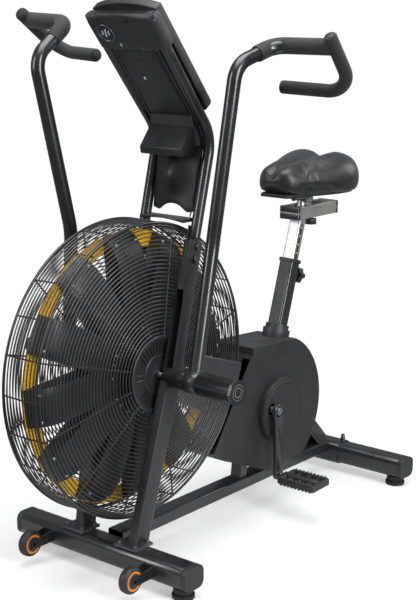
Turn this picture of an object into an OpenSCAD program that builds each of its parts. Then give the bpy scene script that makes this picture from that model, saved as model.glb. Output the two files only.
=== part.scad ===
// Fan-resistance exercise bike, in millimetres. +X is the rider's left, +Y points back to the seat, +Z is up.
// Places are measured from the fan axle's line and the floor, and rig() moves them to the part's own origin.

/* [Fan and cage] */
// Height of the fan axle above the floor
fan_z = 468; // [440:1:500]
// Outer radius of the wire cage
cage_r = 345; // [320:1:348]
// Number of vanes on the fan
vane_count = 12; // [8:1:16]
// Outer radius of the vanes
vane_r = 318; // [290:1:326]
// Number of wire rings on each face of the cage
ring_count = 9; // [5:1:14]

/* [Base] */
// Length of the front stabiliser
front_bar_len = 537; // [480:1:620]
// Length of the rear stabiliser
rear_bar_len = 531; // [480:1:620]
// Distance from the fan axle back to the rear stabiliser
rear_bar_y = 826; // [780:1:860]
// Distance from the fan axle back to the front stabiliser (negative is forward)
front_bar_y = -86; // [-100:1:-70]
// Depth of a stabiliser tube, front to back
bar_depth = 64; // [50:1:70]
// Height of a stabiliser tube
bar_height = 55; // [45:1:60]

/* [Crank] */
// Distance from the fan axle back to the crank axle
crank_y = 445; // [430:1:460]
// Height of the crank axle
crank_z = 275; // [265:1:290]
// Length of a crank arm, axle to pedal
crank_len = 172; // [165:1:178]

/* [Handles] */
// Distance of a handle tube from the middle of the bike
handle_x = 197; // [190:1:205]
// Radius of the handle tube
handle_tube_r = 16; // [14:0.5:17]
// Radius of the foam grips
grip_r = 19; // [18:0.5:21]
// Swing of the left handle back from upright; the right one leans forward as much
handle_swing = 9; // [0:1:12]

/* [Seat] */
// Lean of the seat post back from upright
post_lean = 17.5; // [12:0.5:20]
// Width of the saddle
saddle_w = 250; // [220:1:270]
// Length of the saddle
saddle_len = 296; // [260:1:300]

/* [Console] */
// Lean of the console and its mast forward from upright
console_lean = 38.4; // [30:0.1:42]
// Length of the console along its lean
console_len = 303; // [280:1:320]

/* [Hidden] */
$fn = 48;

// Shared thin clearances
fit_gap = 0.05;
loose_gap = 0.6;
wall = 2;

// Overall box, used to put the origin at the middle of the base
cage_front = -cage_r;
rear_back = rear_bar_y + bar_depth / 2;
fan_y = -(cage_front + rear_back) / 2;

// Base
bar_bottom = 25;
bar_top = bar_bottom + bar_height;
bar_corner = 18;
rail_w = 46;
rail_bottom = 54;
rail_h = 32;
rail_top = rail_bottom + rail_h;
cap_len = 14;
socket_half = 57;
socket_gap = 0.04;
front_foot_x = 236;
rear_foot_x = 229;
foot_r = 26;
stud_r = 5;
wheel_x = 160;
wheel_y = -176;
wheel_z = 49;
wheel_r = 31;
wheel_w = 24;

// Legs: base on the stabiliser, knee at the fan axle, top at the mast
leg_w = 27;
leg_d = 48;
leg_base = [84, -67, bar_top + 6];
leg_knee = [117, 13, fan_z];
leg_top = [84, 129, 756];
leg_plate = [66, 60, 6];

// Pivot of each handle, on the fan axle's line
pivot_shaft_r = 15;
boss_r = 23;
boss_from = 131;
boss_to = 176;
sleeve_from = 178;
sleeve_to = 214;
sleeve_r = 26;
peg_from = 216;
peg_to = 312;
peg_r = 27;
peg_plate_t = 7;

// Cage: a bowl-shaped face from the rim to the hub cover
hoop_wire_r = 5;
hoop_x = 54;
hoop_r = cage_r - hoop_wire_r;
bowl_rim_r = cage_r - 9.1;
bowl_rim_x = 57;
bowl_mid_r = 280;
bowl_mid_x = 64;
bowl_hub_r = 84;
bowl_hub_x = 88;
grille_w = 3;
spoke_count = 12;

// Fan
fan_front_x = 40;
fan_back_x = -12;
sheet_t = 1.6;
hub_r = 96;
ring_in_r = 283;
ring_out_r = 321;
axle_r = 8.5;
axle_half = 72;
axle_end_r = 6;
axle_end_x = 103.4;
belt_x = -48;
belt_w = 12;
fan_pulley_r = 28;
crank_pulley_r = 104;

// Shroud outline, walked round from the top front corner
shroud_half = 64;
shroud_wall = 3;
shroud_centre = [497, 262];
shroud_back_r = 190;
shroud_arc_from = -52;
shroud_arc_to = 66;
shroud_arc_steps = 20;
shroud_arc = [for (i = [0:shroud_arc_steps])
    let (a = shroud_arc_from + (shroud_arc_to - shroud_arc_from) * i / shroud_arc_steps)
    shroud_centre + shroud_back_r * [cos(a), sin(a)]];
shroud_outline = concat([[388, 446], [388, 428], [334, 355], [232, 206], [270, 180], [462, 100]], shroud_arc);
disc_r = 85;
disc_h = 21;

// Crank and pedals
arm_in_x = 94;
arm_out_x = 108;
crank_lean = 2;
pedal_x = 124;
pedal_len = 114;

// Handle run, in the handle's own upright pose, from the pivot
handle_foot = [-2, 2, 20];
handle_knee = [-22, 40, 300];
handle_neck = [3, 26, 706];
bar_turn = [12, 146, 765];
bar_end = [157, 167, 767];
cross_top = [160, 143, 789];
cross_low = [165, 259, 677];
low_end = [-6, 212, 679];
neck_bend_r = 40;
cross_tube_r = 12.6;
cross_grip_r = 15.4;
grip_lap = 84;
// The poles of the balls at a handle's bends are turned away from the bar's own line
left_turn = [37, 21, 0];
right_turn = [37, -21, 0];

// Seat
post_w = 34;
post_d = 28;
tube_wall = 2.4;
liner = 2;
tube_w = post_w + 2 * (tube_wall + liner);
tube_d = post_d + 2 * (tube_wall + liner);
post_foot = [0, 569, 435];
tube_down = 225;
tube_up = 198;
post_down = 115;
post_up = 306;
seat_rail_y = 715;
seat_rail_z = 739;
seat_rail_len = 186;
seat_rail_w = 60;
seat_rail_h = 34;
knob_y = 723;
stub_y = 678;
stub_r = 12.5;
saddle_bottom = 804;
saddle_top = 918;
saddle_pivot_z = 791;
saddle_front_y = 531;
knob_r = 21;

// Console and mast
mast_r = 13;
mast_foot = [80, 139, 764];
mast_bend = [81, 196, 992];
mast_top = [87.6, -22, 1268];
mast_bend_r = 90;
bend_steps = 2;
lug_t = 3;
console_foot = [0, 147, 1040];
console_low_half = 68;
console_top_half = 88;
console_drop = 30;
console_t = 26;
console_front_half = 94;
console_front_t = 24;
button_press_gap = 2;
button_r = 9;
button_gap = 32;

module rig() {
    translate([0, fan_y, 0])
        children();
}

// A shape on both sides of the bike
module both_sides() {
    children();
    mirror([1, 0, 0])
        children();
}

// Turns children, drawn up along +Z, so that they run from p to q with their own X kept near the bike's X
module along(p, q) {
    v = q - p;
    translate(p)
        rotate([-atan2(v.y, v.z), 0, 0])
            rotate([0, asin(v.x / norm(v)), 0])
                children();
}

module rounded(w, h, r) {
    square([w - 2 * r, h], center = true);
    square([w, h - 2 * r], center = true);
    for (x = [-1, 1], y = [-1, 1])
        translate([x * (w / 2 - r), y * (h / 2 - r)])
            circle(r);
}

module box_tube(w, h, r, t) {
    difference() {
        rounded(w, h, r);
        rounded(w - 2 * t, h - 2 * t, max(r - t, 0.5));
    }
}

// A bar of section w by d from p to q
module beam(p, q, w, d, r) {
    along(p, q)
        linear_extrude(norm(q - p))
            rounded(w, d, r);
}

function unit(v) = v / norm(v);
function turn(a, b, c) = acos(unit(b - a) * unit(c - b));
// How far a bend of radius bend reaches back along each leg of the corner at b
function reach(a, b, c, bend) = bend * tan(turn(a, b, c) / 2);

// The corner at b as a short run of points on an arc
function corner(a, b, c, bend) =
    let (u = unit(b - a), t = turn(a, b, c), m = unit(unit(c - b) - (u * unit(c - b)) * u))
    let (o = b - u * reach(a, b, c, bend) + m * bend)
    [for (i = [0:bend_steps]) o + bend * (sin(t * i / bend_steps) * u - cos(t * i / bend_steps) * m)];

function bent(points, bend) = [
    points[0],
    for (i = [1:len(points) - 2])
        each corner(points[i - 1], points[i], points[i + 1], bend),
    points[len(points) - 1]
];

// The space inside a beam from p to q, kept short of its ends
module beam_bore(p, q, w, d, r) {
    inset = 4 * unit(q - p);
    beam(p + inset, q - inset, w - 2 * wall, d - 2 * wall, max(r - wall, 0.5));
}

// A round bar through a list of points
module run(points, r, seam = [0, 0, 0]) {
    for (i = [0:len(points) - 2])
        along(points[i], points[i + 1])
            cylinder(h = norm(points[i + 1] - points[i]), r = r);
    for (i = [1:len(points) - 2])
        translate(points[i])
            rotate(seam)
                sphere(r + 0.25);
}

// A bent tube: the bar through the points less the bar inside it
module tube_run(points, r, inner, seam = [0, 0, 0]) {
    difference() {
        run(points, r, seam);
        run(points, inner, seam);
    }
}

// A tube along X with its axis on the fan axle's line
module on_axle(x0, x1) {
    translate([x0, 0, fan_z])
        rotate([0, 90, 0])
            linear_extrude(x1 - x0)
                children();
}

module ring(outer, inner) {
    difference() {
        circle(outer);
        circle(inner);
    }
}

/* Base */

module stabilizer(length, y, foot_x) {
    difference() {
        translate([-length / 2 + cap_len, y, bar_bottom + bar_height / 2])
            rotate([0, 90, 0])
                linear_extrude(length - 2 * cap_len)
                    box_tube(bar_height, bar_depth, bar_corner, wall);
        for (x = [-foot_x, foot_x])
            translate([x, y, bar_bottom - 1])
                cylinder(h = 6, r = stud_r + fit_gap);
    }
}

module front_stabilizer() {
    color("#1c1d20") rig()
        stabilizer(front_bar_len, front_bar_y, front_foot_x);
}

module rear_stabilizer() {
    color("#1c1d20") rig()
        stabilizer(rear_bar_len, rear_bar_y, rear_foot_x);
}

module end_cap(length, y) {
    translate([length / 2 - cap_len, y, bar_bottom + bar_height / 2])
        rotate([0, 90, 0])
            linear_extrude(cap_len)
                rounded(bar_height, bar_depth, bar_corner);
}

module stabilizer_end_caps() {
    color("#2c2d30") rig()
        both_sides() {
            end_cap(front_bar_len, front_bar_y);
            end_cap(rear_bar_len, rear_bar_y);
        }
}

module main_rail() {
    rail_front = front_bar_y + bar_depth / 2;
    rail_back = rear_bar_y - bar_depth / 2 - 3;
    color("#1f2023") rig()
        translate([0, rail_front, rail_bottom + rail_h / 2])
            rotate([-90, 0, 0])
                linear_extrude(rail_back - rail_front)
                    box_tube(rail_w, rail_h, 5, wall);
}

module rear_socket() {
    color("#1f2023") rig()
        translate([-socket_half, rear_bar_y, bar_bottom + bar_height / 2])
            rotate([0, 90, 0])
                linear_extrude(2 * socket_half)
                    difference() {
                        rounded(bar_height + 6, bar_depth + 6, bar_corner + 3);
                        rounded(bar_height + socket_gap, bar_depth + socket_gap, bar_corner);
                    }
}

/* Legs */

module leg() {
    difference() {
        union() {
            beam(leg_base - [3, 8, 40], leg_knee, leg_w, leg_d, 6);
            beam(leg_knee - [0, 0, 4], leg_top, leg_w, leg_d - 6, 6);
            translate([leg_base.x - leg_plate.x / 2, front_bar_y - leg_plate.y / 2 + 3, bar_top])
                cube(leg_plate);
            // Tabs that the cage is clipped to
            clip(leg_base, leg_knee, 0.6);
            clip(leg_knee, leg_top, 0.48);
        }
        beam_bore(leg_base + [0, 0, 6], leg_knee, leg_w, leg_d, 6);
        beam_bore(leg_knee + [0, 0, 10], leg_top, leg_w, leg_d - 6, 6);
        translate([0, front_bar_y - 100, -1])
            cube([200, 250, bar_top + 1]);
        on_axle(0, 200)
            circle(pivot_shaft_r);
    }
}

// A tab from the leg, part way from p to q, in to the outside of the cage's wires
module clip(p, q, part) {
    at = p + (q - p) * part;
    from = bowl_x(norm([at.y, at.z - fan_z])) + grille_w / 2 + 1.5;
    translate([from, at.y - 7, at.z - 7])
        cube([at.x - from, 14, 14]);
}

module left_leg() {
    color("#2a2b2e") rig()
        leg();
}

module right_leg() {
    color("#2a2b2e") rig()
        mirror([1, 0, 0])
            leg();
}

module bolt(p, r, h) {
    translate(p) {
        cylinder(h = h, r = r);
        cylinder(h = h / 2, r = r * 1.5, $fn = 6);
    }
}

module frame_bolts() {
    plate_z = bar_top + leg_plate.z;
    color("#55565a") rig()
        both_sides() {
            for (x = [-24, 24], y = [-18, 24])
                bolt([leg_base.x + x, front_bar_y + y, plate_z], 4, 7);
            bolt([socket_half - 12, rear_bar_y + 14, bar_top + 3], 5, 16);
            for (drop = [10, 40])
                translate(leg_top - drop * unit(leg_top - leg_knee) + [leg_w / 2 + 1, 0, 0])
                    rotate([0, 90, 0])
                        cylinder(h = 6, r = 8);
        }
}

/* Seat tube, crank shell and struts inside the shroud */

module seat_frame() {
    translate(post_foot)
        rotate([-post_lean, 0, 0])
            children();
}

module seat_tube() {
    color("#17181a") rig()
        seat_frame()
            translate([0, 0, -tube_down])
                difference() {
                    union() {
                        linear_extrude(tube_down + tube_up)
                            box_tube(tube_w, tube_d, 6, tube_wall);
                        translate([0, tube_d / 2 - 1, tube_down + tube_up - 28])
                            rotate([-90, 0, 0])
                                cylinder(h = 4.9, r = 12);
                    }
                    translate([0, tube_d / 2 - 10, tube_down + tube_up - 28])
                        rotate([-90, 0, 0])
                            cylinder(h = 20, r = 6);
                }
}

module post_bushing() {
    color("#111111") rig()
        seat_frame()
            translate([0, 0, tube_up - 120])
                difference() {
                    linear_extrude(120)
                        difference() {
                            rounded(tube_w - 2 * tube_wall, tube_d - 2 * tube_wall, 3.6);
                            rounded(post_w + 0.3, post_d + 0.3, 4);
                        }
                    translate([0, 0, 92])
                        rotate([-90, 0, 0])
                            cylinder(h = tube_d, r = 6);
                }
}

module seat_strut() {
    strut_foot = [0, rear_bar_y - 24, 66];
    strut_head = [0, 546, 326];
    difference() {
        beam(strut_foot, strut_head, rail_w, 40, 6);
        beam(strut_foot, strut_head, rail_w - 2 * wall, 40 - 2 * wall, 4);
        translate([-50, rear_bar_y - 200, 0])
            cube([100, 300, rail_top]);
        translate([-50, rear_bar_y - bar_depth / 2 - 6, 0])
            cube([100, 100, bar_top + 60]);
        seat_frame()
            translate([-50, -100, -tube_down - 50])
                cube([100, 100 + tube_d / 2, 600]);
    }
}

module crank_shell() {
    color("#2a2b2e") rig()
        difference() {
            union() {
                translate([-34, crank_y, crank_z])
                    rotate([0, 90, 0])
                        linear_extrude(68)
                            ring(26, 20);
                translate([-20, crank_y + 22, crank_z - 20])
                    cube([40, 60, 34]);
            }
            translate([-35, crank_y, crank_z])
                rotate([0, 90, 0])
                    cylinder(h = 70, r = 20);
            seat_frame()
                translate([-50, -tube_d / 2, -tube_down - 50])
                    cube([100, 100, 600]);
        }
}

module rail_post() {
    difference() {
        beam([0, 412, rail_top - 20], [0, crank_y - 6, crank_z], 34, 30, 4);
        beam([0, 412, rail_top - 20], [0, crank_y - 6, crank_z], 34 - 2 * wall, 30 - 2 * wall, 2);
        translate([-50, 300, 0])
            cube([100, 250, rail_top]);
        translate([-50, crank_y, crank_z])
            rotate([0, 90, 0])
                cylinder(h = 100, r = 26);
    }
}

module seat_struts() {
    color("#1f2023") rig() {
        seat_strut();
        rail_post();
    }
}

/* Mast */

module mast() {
    tube_run(bent([mast_foot, mast_bend, mast_top], mast_bend_r), mast_r, mast_r - wall);
    // Flat lug at the foot, which laps the inner side of the leg's top
    translate([leg_top.x - leg_w / 2 - lug_t - fit_gap, leg_top.y + 4, leg_top.z - 6])
        rotate([-18, 0, 0])
            translate([0, -16, -44])
                cube([lug_t, 36, 84]);
}

// Low arch between the masts' feet, over the top of the cage
module cross_arch() {
    half = mast_foot.x - mast_r - 0.1;
    translate([0, mast_foot.y + 14, 0])
        rotate([90, 0, 0])
            linear_extrude(42)
                difference() {
                    translate([-half, 786])
                        square([2 * half, 26]);
                    translate([0, 406])
                        circle(398, $fn = 120);
                    translate([-half - 1, 799 + 8])
                        square([2 * half + 2, 30]);
                }
}

module mast_tubes() {
    color("#1a1b1e") rig() {
        both_sides()
            mast();
        cross_arch();
    }
}

/* Shroud */

// Children are drawn in a plane whose X is the bike's Y and whose Y is up, and are thickened along +X from x0
module side_plate(x0, t) {
    translate([x0, 0, 0])
        rotate([90, 0, 90])
            linear_extrude(t)
                children();
}

module seat_tube_hole() {
    seat_frame()
        translate([0, 0, -tube_down - 20])
            linear_extrude(tube_down + tube_up)
                square([tube_w + 1, tube_d + 1], center = true);
}

// Slot for the belt through the shroud's front edge
module belt_way() {
    translate([0, 0, fan_z])
        rotate([-atan2(fan_z - crank_z, crank_y), 0, 0])
            translate([-belt_x - 12, 280, -105])
                cube([24, 120, 210]);
}

inner_scale = 1 - 2 * shroud_wall / 300;

module shroud_half(crank_hole) {
    difference() {
        side_plate(0, shroud_half)
            polygon(shroud_outline);
        side_plate(-1, shroud_half - shroud_wall + 1)
            translate(shroud_centre)
                scale(inner_scale)
                    translate(-shroud_centre)
                        polygon(shroud_outline);
        // Open where the cage, the seat tube, the strut, the post and the crank axle pass
        side_plate(-1, shroud_half - shroud_wall + 1)
            translate([0, fan_z])
                circle(cage_r + 4);
        seat_tube_hole();
        belt_way();
        translate([-1, 380, 60])
            cube([19, 70, 90]);
        translate([-1, 640, 60])
            cube([rail_w / 2 + 2, 90, 160]);
        translate([0, crank_y, crank_z])
            rotate([0, 90, 0])
                cylinder(h = 100, r = crank_hole);
    }
}

module left_shroud() {
    color("#3a3b3e") rig()
        shroud_half(16);
}

module right_shroud() {
    color("#3a3b3e") rig()
        mirror([1, 0, 0])
            shroud_half(16);
}

module disc_cover() {
    difference() {
        translate([shroud_half, shroud_centre.x, shroud_centre.y])
            rotate([0, 90, 0]) {
                cylinder(h = disc_h - 3, r = disc_r);
                cylinder(h = disc_h, r = disc_r - 8);
            }
        translate([shroud_half - 1, shroud_centre.x, shroud_centre.y])
            rotate([0, 90, 0])
                cylinder(h = disc_h - 5, r = disc_r - 4);
        translate([0, crank_y, crank_z])
            rotate([0, 90, 0])
                cylinder(h = 100, r = 16);
    }
}

module disc_covers() {
    color("#3f4043") rig()
        both_sides()
            disc_cover();
}

module post_collar() {
    difference() {
        seat_frame()
            translate([0, 0, -30]) {
                cylinder(h = 48, r = 36);
                cylinder(h = 60, r = 31);
            }
        seat_frame()
            translate([0, 0, -31])
                linear_extrude(90)
                    square([tube_w + 0.4, tube_d + 0.4], center = true);
        side_plate(-70, 140)
            polygon(shroud_outline);
    }
}

module sleeve_cap() {
    seat_frame()
        translate([0, 0, tube_up])
            linear_extrude(9)
                difference() {
                    rounded(tube_w + 6, tube_d + 6, 8);
                    rounded(post_w + 0.8, post_d + 0.8, 4.5);
                }
}

module post_collars() {
    color("#232427") rig() {
        post_collar();
        sleeve_cap();
    }
}

/* Link covers: short sloping boxes between the handle pivots and the shroud */

link_front = [95, 132, 466];
link_back = [90, 290, 412];
link_cover_w = 18;

module link_cover() {
    reach_over = 0.06 * (link_back - link_front);
    difference() {
        beam(link_front, link_back, link_cover_w, 46, 5);
        beam(link_front - reach_over, link_back + reach_over, link_cover_w - 5, 40, 3);
    }
}

module link_covers() {
    color("#2e2f32") rig()
        both_sides()
            link_cover();
}

module link_rod() {
    v = link_back - link_front;
    beam(link_front + 0.12 * v, link_front + 0.92 * v, 7, 16, 2);
}

module left_link_rod() {
    color("#8a8b8e") rig()
        link_rod();
}

module right_link_rod() {
    color("#8a8b8e") rig()
        mirror([1, 0, 0])
            link_rod();
}

/* Cage */

// X of the bowl at radius r
function bowl_x(r) = r > bowl_mid_r
    ? bowl_mid_x + (bowl_rim_x - bowl_mid_x) * (r - bowl_mid_r) / (bowl_rim_r - bowl_mid_r)
    : bowl_hub_x + (bowl_mid_x - bowl_hub_x) * (r - bowl_hub_r) / (bowl_mid_r - bowl_hub_r);

module spoke(r0, r1) {
    p = [bowl_x(r0), r0, 0];
    q = [bowl_x(r1), r1, 0];
    translate(p)
        rotate([0, 0, -atan2(q.x - p.x, q.y - p.y)])
            translate([-grille_w / 2, 0, -grille_w / 2])
                cube([grille_w, norm(q - p), grille_w]);
}

module cage_face() {
    for (i = [0:ring_count - 1]) {
        r = bowl_hub_r + 6 + (bowl_rim_r - bowl_hub_r - 10) * i / (ring_count - 1);
        on_axle(bowl_x(r) - grille_w / 2, bowl_x(r) + grille_w / 2)
            ring(r + grille_w / 2, r - grille_w / 2);
    }
    for (i = [0:spoke_count - 1])
        translate([0, 0, fan_z])
            rotate([360 * (i + 0.5) / spoke_count, 0, 0]) {
                spoke(bowl_hub_r + 4, bowl_mid_r);
                spoke(bowl_mid_r - 2, bowl_rim_r - 0.8);
            }
}

module cage_left_face() {
    color("#202124") rig()
        cage_face();
}

module cage_right_face() {
    color("#202124") rig()
        mirror([1, 0, 0])
            cage_face();
}

module cage_rim() {
    belt_angle = atan2(fan_z - crank_z, crank_y);
    color("#18191b") rig()
        difference() {
            union() {
                for (x = [-hoop_x, hoop_x])
                    translate([x, 0, fan_z])
                        rotate([0, 90, 0])
                            rotate_extrude($fn = 96)
                                translate([hoop_r, 0])
                                    circle(hoop_wire_r);
                for (x = [-30, 0, 30])
                    on_axle(x - 1.5, x + 1.5)
                        ring(hoop_r + 1, hoop_r - 3);
                for (i = [0:spoke_count - 1])
                    translate([0, 0, fan_z])
                        rotate([360 * (i + 0.5) / spoke_count, 0, 0])
                            translate([-hoop_x, hoop_r - 4, -2])
                                cube([2 * hoop_x, 4, 4]);
            }
            // Way through the rim for the drive belt
            translate([0, 0, fan_z])
                rotate([-belt_angle, 0, 0])
                    translate([belt_x - 12, hoop_r - 30, -105])
                        cube([24, 60, 210]);
        }
}

module hub_cover() {
    slot_count = 11;
    inner_x = bowl_hub_x + 1;
    difference() {
        on_axle(inner_x, inner_x + 4)
            circle(bowl_hub_r + 6);
        on_axle(inner_x - 1, inner_x + 2)
            circle(bowl_hub_r - 3);
        for (side = [0, 180], i = [0:slot_count - 1])
            translate([inner_x, 0, fan_z])
                rotate([side + 35 + 110 * i / (slot_count - 1), 0, 0])
                    translate([-5, 50, -1.5])
                        cube([20, 26, 3]);
        translate([inner_x - 5, 0, fan_z])
            rotate([0, 90, 0])
                cylinder(h = 30, r = 14, $fn = 3);
    }
}

module hub_covers() {
    color("#333437") rig()
        both_sides()
            hub_cover();
}

module fan_axle() {
    color("#b8babd") rig() {
        on_axle(-axle_half, axle_half)
            circle(axle_r);
        on_axle(-axle_end_x, axle_end_x)
            circle(axle_end_r);
        both_sides() {
            on_axle(axle_half - 1, axle_half + 9)
                circle(13, $fn = 6);
            on_axle(bowl_hub_x + 5.1, bowl_hub_x + 8)
                circle(12);
        }
    }
}

/* Foot rests on the handles' pivot shafts */

module footrest() {
    on_axle(boss_from - 20, peg_to)
        circle(pivot_shaft_r);
    on_axle(boss_from, boss_to)
        ring(boss_r, pivot_shaft_r - 1);
    on_axle(peg_from, peg_to)
        ring(peg_r, peg_r - 3);
    on_axle(peg_from, peg_from + 4)
        ring(peg_r, pivot_shaft_r - 1);
    difference() {
        on_axle(peg_to, peg_to + peg_plate_t)
            circle(30, $fn = 8);
        on_axle(peg_to + 3, peg_to + peg_plate_t + 1)
            circle(9);
    }
}

module footrests() {
    color("#1d1e20") rig()
        both_sides()
            footrest();
}

/* Fan */

module fan_hub() {
    color("#3a3b3e") rig() {
        on_axle(fan_back_x + sheet_t, fan_front_x - sheet_t)
            ring(26, axle_r + fit_gap);
        on_axle(fan_front_x - sheet_t, fan_front_x)
            ring(hub_r, axle_r + fit_gap);
        on_axle(belt_x - belt_w / 2, fan_back_x + sheet_t)
            ring(fan_pulley_r, axle_r + fit_gap);
    }
}

half_vane = 90 / vane_count;

// Outline of one vane's front sheet
module vane_sheet() {
    in_r = hub_r + 1;
    polygon([
        [in_r * cos(half_vane), -in_r * sin(half_vane)],
        [in_r * cos(half_vane), in_r * sin(half_vane)],
        [vane_r * cos(half_vane), vane_r * sin(half_vane)],
        [vane_r * cos(half_vane), -vane_r * sin(half_vane)]
    ]);
}

// One sheet for all the vanes and the plate at their inner ends, and two webs behind each vane
module fan_vanes() {
    web_from = hub_r + 14;
    color("#3c3e42") rig()
        translate([0, 0, fan_z]) {
            side_plate(fan_front_x, sheet_t) {
                ring(hub_r + 8, 30);
                for (i = [0:vane_count - 1])
                    rotate(360 * i / vane_count + 5)
                        vane_sheet();
            }
            for (i = [0:vane_count - 1], side = [-1, 1])
                rotate([360 * i / vane_count + 5 + side * half_vane, 0, 0])
                    translate([fan_back_x, web_from, side > 0 ? -sheet_t : 0])
                        cube([fan_front_x - fan_back_x + sheet_t / 2, vane_r - web_from - 4, sheet_t]);
        }
}

module fan_ring() {
    color("#ffc400") rig()
        on_axle(fan_back_x - sheet_t, fan_back_x)
            ring(ring_out_r, ring_in_r);
}

/* Belt drive on the bike's right side */

module belt_loop(grow) {
    slope = atan2(crank_z - fan_z, crank_y);
    open_angle = 90 + asin((crank_pulley_r - fan_pulley_r) / norm([crank_y, crank_z - fan_z]));
    fan_c = [0, fan_z];
    crank_c = [crank_y, crank_z];
    up = [cos(slope + open_angle), sin(slope + open_angle)];
    down = [cos(slope - open_angle), sin(slope - open_angle)];
    translate(fan_c)
        circle(fan_pulley_r + grow);
    translate(crank_c)
        circle(crank_pulley_r + grow);
    polygon([
        fan_c + (fan_pulley_r + grow) * up,
        crank_c + (crank_pulley_r + grow) * up,
        crank_c + (crank_pulley_r + grow) * down,
        fan_c + (fan_pulley_r + grow) * down
    ]);
}

module drive_belt() {
    color("#0e0e0e") rig()
        side_plate(belt_x - belt_w / 2 + 0.5, belt_w - 1)
            difference() {
                belt_loop(2.4);
                belt_loop(0.02);
            }
}

module crank_axle() {
    color("#9a9ca0") rig()
        translate([-arm_out_x - 2, crank_y, crank_z])
            rotate([0, 90, 0]) {
                cylinder(h = 2 * arm_out_x + 4, r = 9.5);
                translate([0, 0, arm_out_x + 2 - 34])
                    cylinder(h = 68, r = 20 - fit_gap);
            }
}

module crank_pulley() {
    color("#2b2c2e") rig()
        translate([belt_x - belt_w / 2, crank_y, crank_z])
            rotate([0, 90, 0])
                linear_extrude(belt_w)
                    difference() {
                        circle(crank_pulley_r, $fn = 96);
                        circle(9.5);
                        for (i = [0:5])
                            rotate(60 * i)
                                translate([60, 0])
                                    circle(22);
                    }
}

module crank_arm() {
    difference() {
        union() {
            beam([(arm_in_x + arm_out_x) / 2, 0, 0], [(arm_in_x + arm_out_x) / 2, 0, -crank_len],
                arm_out_x - arm_in_x, 28, 3);
            translate([arm_in_x, 0, 0])
                rotate([0, 90, 0])
                    cylinder(h = arm_out_x - arm_in_x, r = 18);
            translate([arm_in_x, 0, -crank_len])
                rotate([0, 90, 0])
                    cylinder(h = arm_out_x - arm_in_x, r = 15);
        }
        translate([arm_in_x - 1, 0, 0])
            rotate([0, 90, 0])
                cylinder(h = 40, r = 9.5);
        translate([arm_in_x - 1, 0, -crank_len])
            rotate([0, 90, 0])
                cylinder(h = 40, r = 7);
    }
}

module at_crank() {
    translate([0, crank_y, crank_z])
        rotate([crank_lean, 0, 0])
            children();
}

module crank_arms() {
    color("#1a1b1d") rig()
        at_crank() {
            crank_arm();
            mirror([1, 0, 0])
                rotate([180, 0, 0])
                    crank_arm();
        }
}

// A pedal on its spindle, which turns in the arm's end
module pedal() {
    translate([arm_in_x, 0, -crank_len])
        rotate([0, 90, 0])
            cylinder(h = pedal_x + pedal_len - arm_in_x, r = 7 - fit_gap);
    difference() {
        translate([pedal_x, -38, -crank_len - 12])
            cube([pedal_len, 76, 24]);
        for (y = [-28, 14])
            translate([pedal_x + 14, y, -crank_len - 13])
                cube([pedal_len - 28, 14, 26]);
        translate([arm_in_x, 0, -crank_len])
            rotate([0, 90, 0])
                cylinder(h = 200, r = 7 - fit_gap);
    }
}

module left_pedal() {
    color("#303135") rig()
        at_crank()
            pedal();
}

module right_pedal() {
    color("#303135") rig()
        at_crank()
            mirror([1, 0, 0])
                rotate([180, 0, 0])
                    pedal();
}

/* Handles */

module at_handle(side) {
    translate([side * handle_x, 0, fan_z])
        rotate([-side * handle_swing, 0, 0])
            mirror([side > 0 ? 0 : 1, 0, 0])
                children();
}

module handle(seam) {
    // The upper bar runs into the cross tube, which turns down into the lower bar
    upper = bent([handle_foot, handle_knee, handle_neck, bar_turn, bar_end - [5, 0, 0]], neck_bend_r);
    cross = bent([cross_top, cross_low, low_end], neck_bend_r);
    tube_run(upper, handle_tube_r, handle_tube_r - wall, seam);
    tube_run(cross, cross_tube_r, cross_tube_r - wall, seam);
    translate([sleeve_from - handle_x, 0, 0])
        rotate([0, 90, 0])
            linear_extrude(sleeve_to - sleeve_from)
                ring(sleeve_r, pivot_shaft_r + fit_gap);
}

// Foam sleeves round the upper bar, the cross tube and the lower bar
module grips(seam) {
    tip = bar_end - [5, 0, 0];
    start = handle_neck + unit(bar_turn - handle_neck) * grip_lap;
    stop = tip - unit(tip - bar_turn) * 12;
    tube_run(bent([start, bar_turn, stop], neck_bend_r), grip_r, handle_tube_r, seam);
    // The foam on the cross tube is in two lengths, either side of the upper bar's joint
    down = unit(cross_low - cross_top);
    along(cross_top, cross_top + down * 12)
        linear_extrude(12)
            ring(cross_grip_r, cross_tube_r);
    lower = bent([cross_top + down * 50.5, cross_low, low_end], neck_bend_r);
    tube_run(lower, cross_grip_r, cross_tube_r, seam);
}

module left_handle() {
    color("#1b1c1f") rig()
        at_handle(1)
            handle(left_turn);
}

module right_handle() {
    color("#1b1c1f") rig()
        at_handle(-1)
            handle(right_turn);
}

module left_grips() {
    color("#26262a") rig()
        at_handle(1)
            grips(left_turn, $fn = 36);
}

module right_grips() {
    color("#26262a") rig()
        at_handle(-1)
            grips(right_turn, $fn = 36);
}

/* Seat */

module seat_post() {
    color("#c9cbce") rig()
        difference() {
            seat_frame()
                translate([0, 0, -post_down])
                    linear_extrude(post_down + post_up + 30)
                        box_tube(post_w, post_d, 4, 2.5);
            translate([-100, 500, seat_rail_z])
                cube([200, 400, 200]);
            // Height holes down the back of the post
            seat_frame()
                for (i = [-3:6])
                    translate([0, 0, tube_up - 28 + 25 * i])
                        rotate([-90, 0, 0])
                            cylinder(h = 40, r = 4.1);
        }
}

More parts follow.
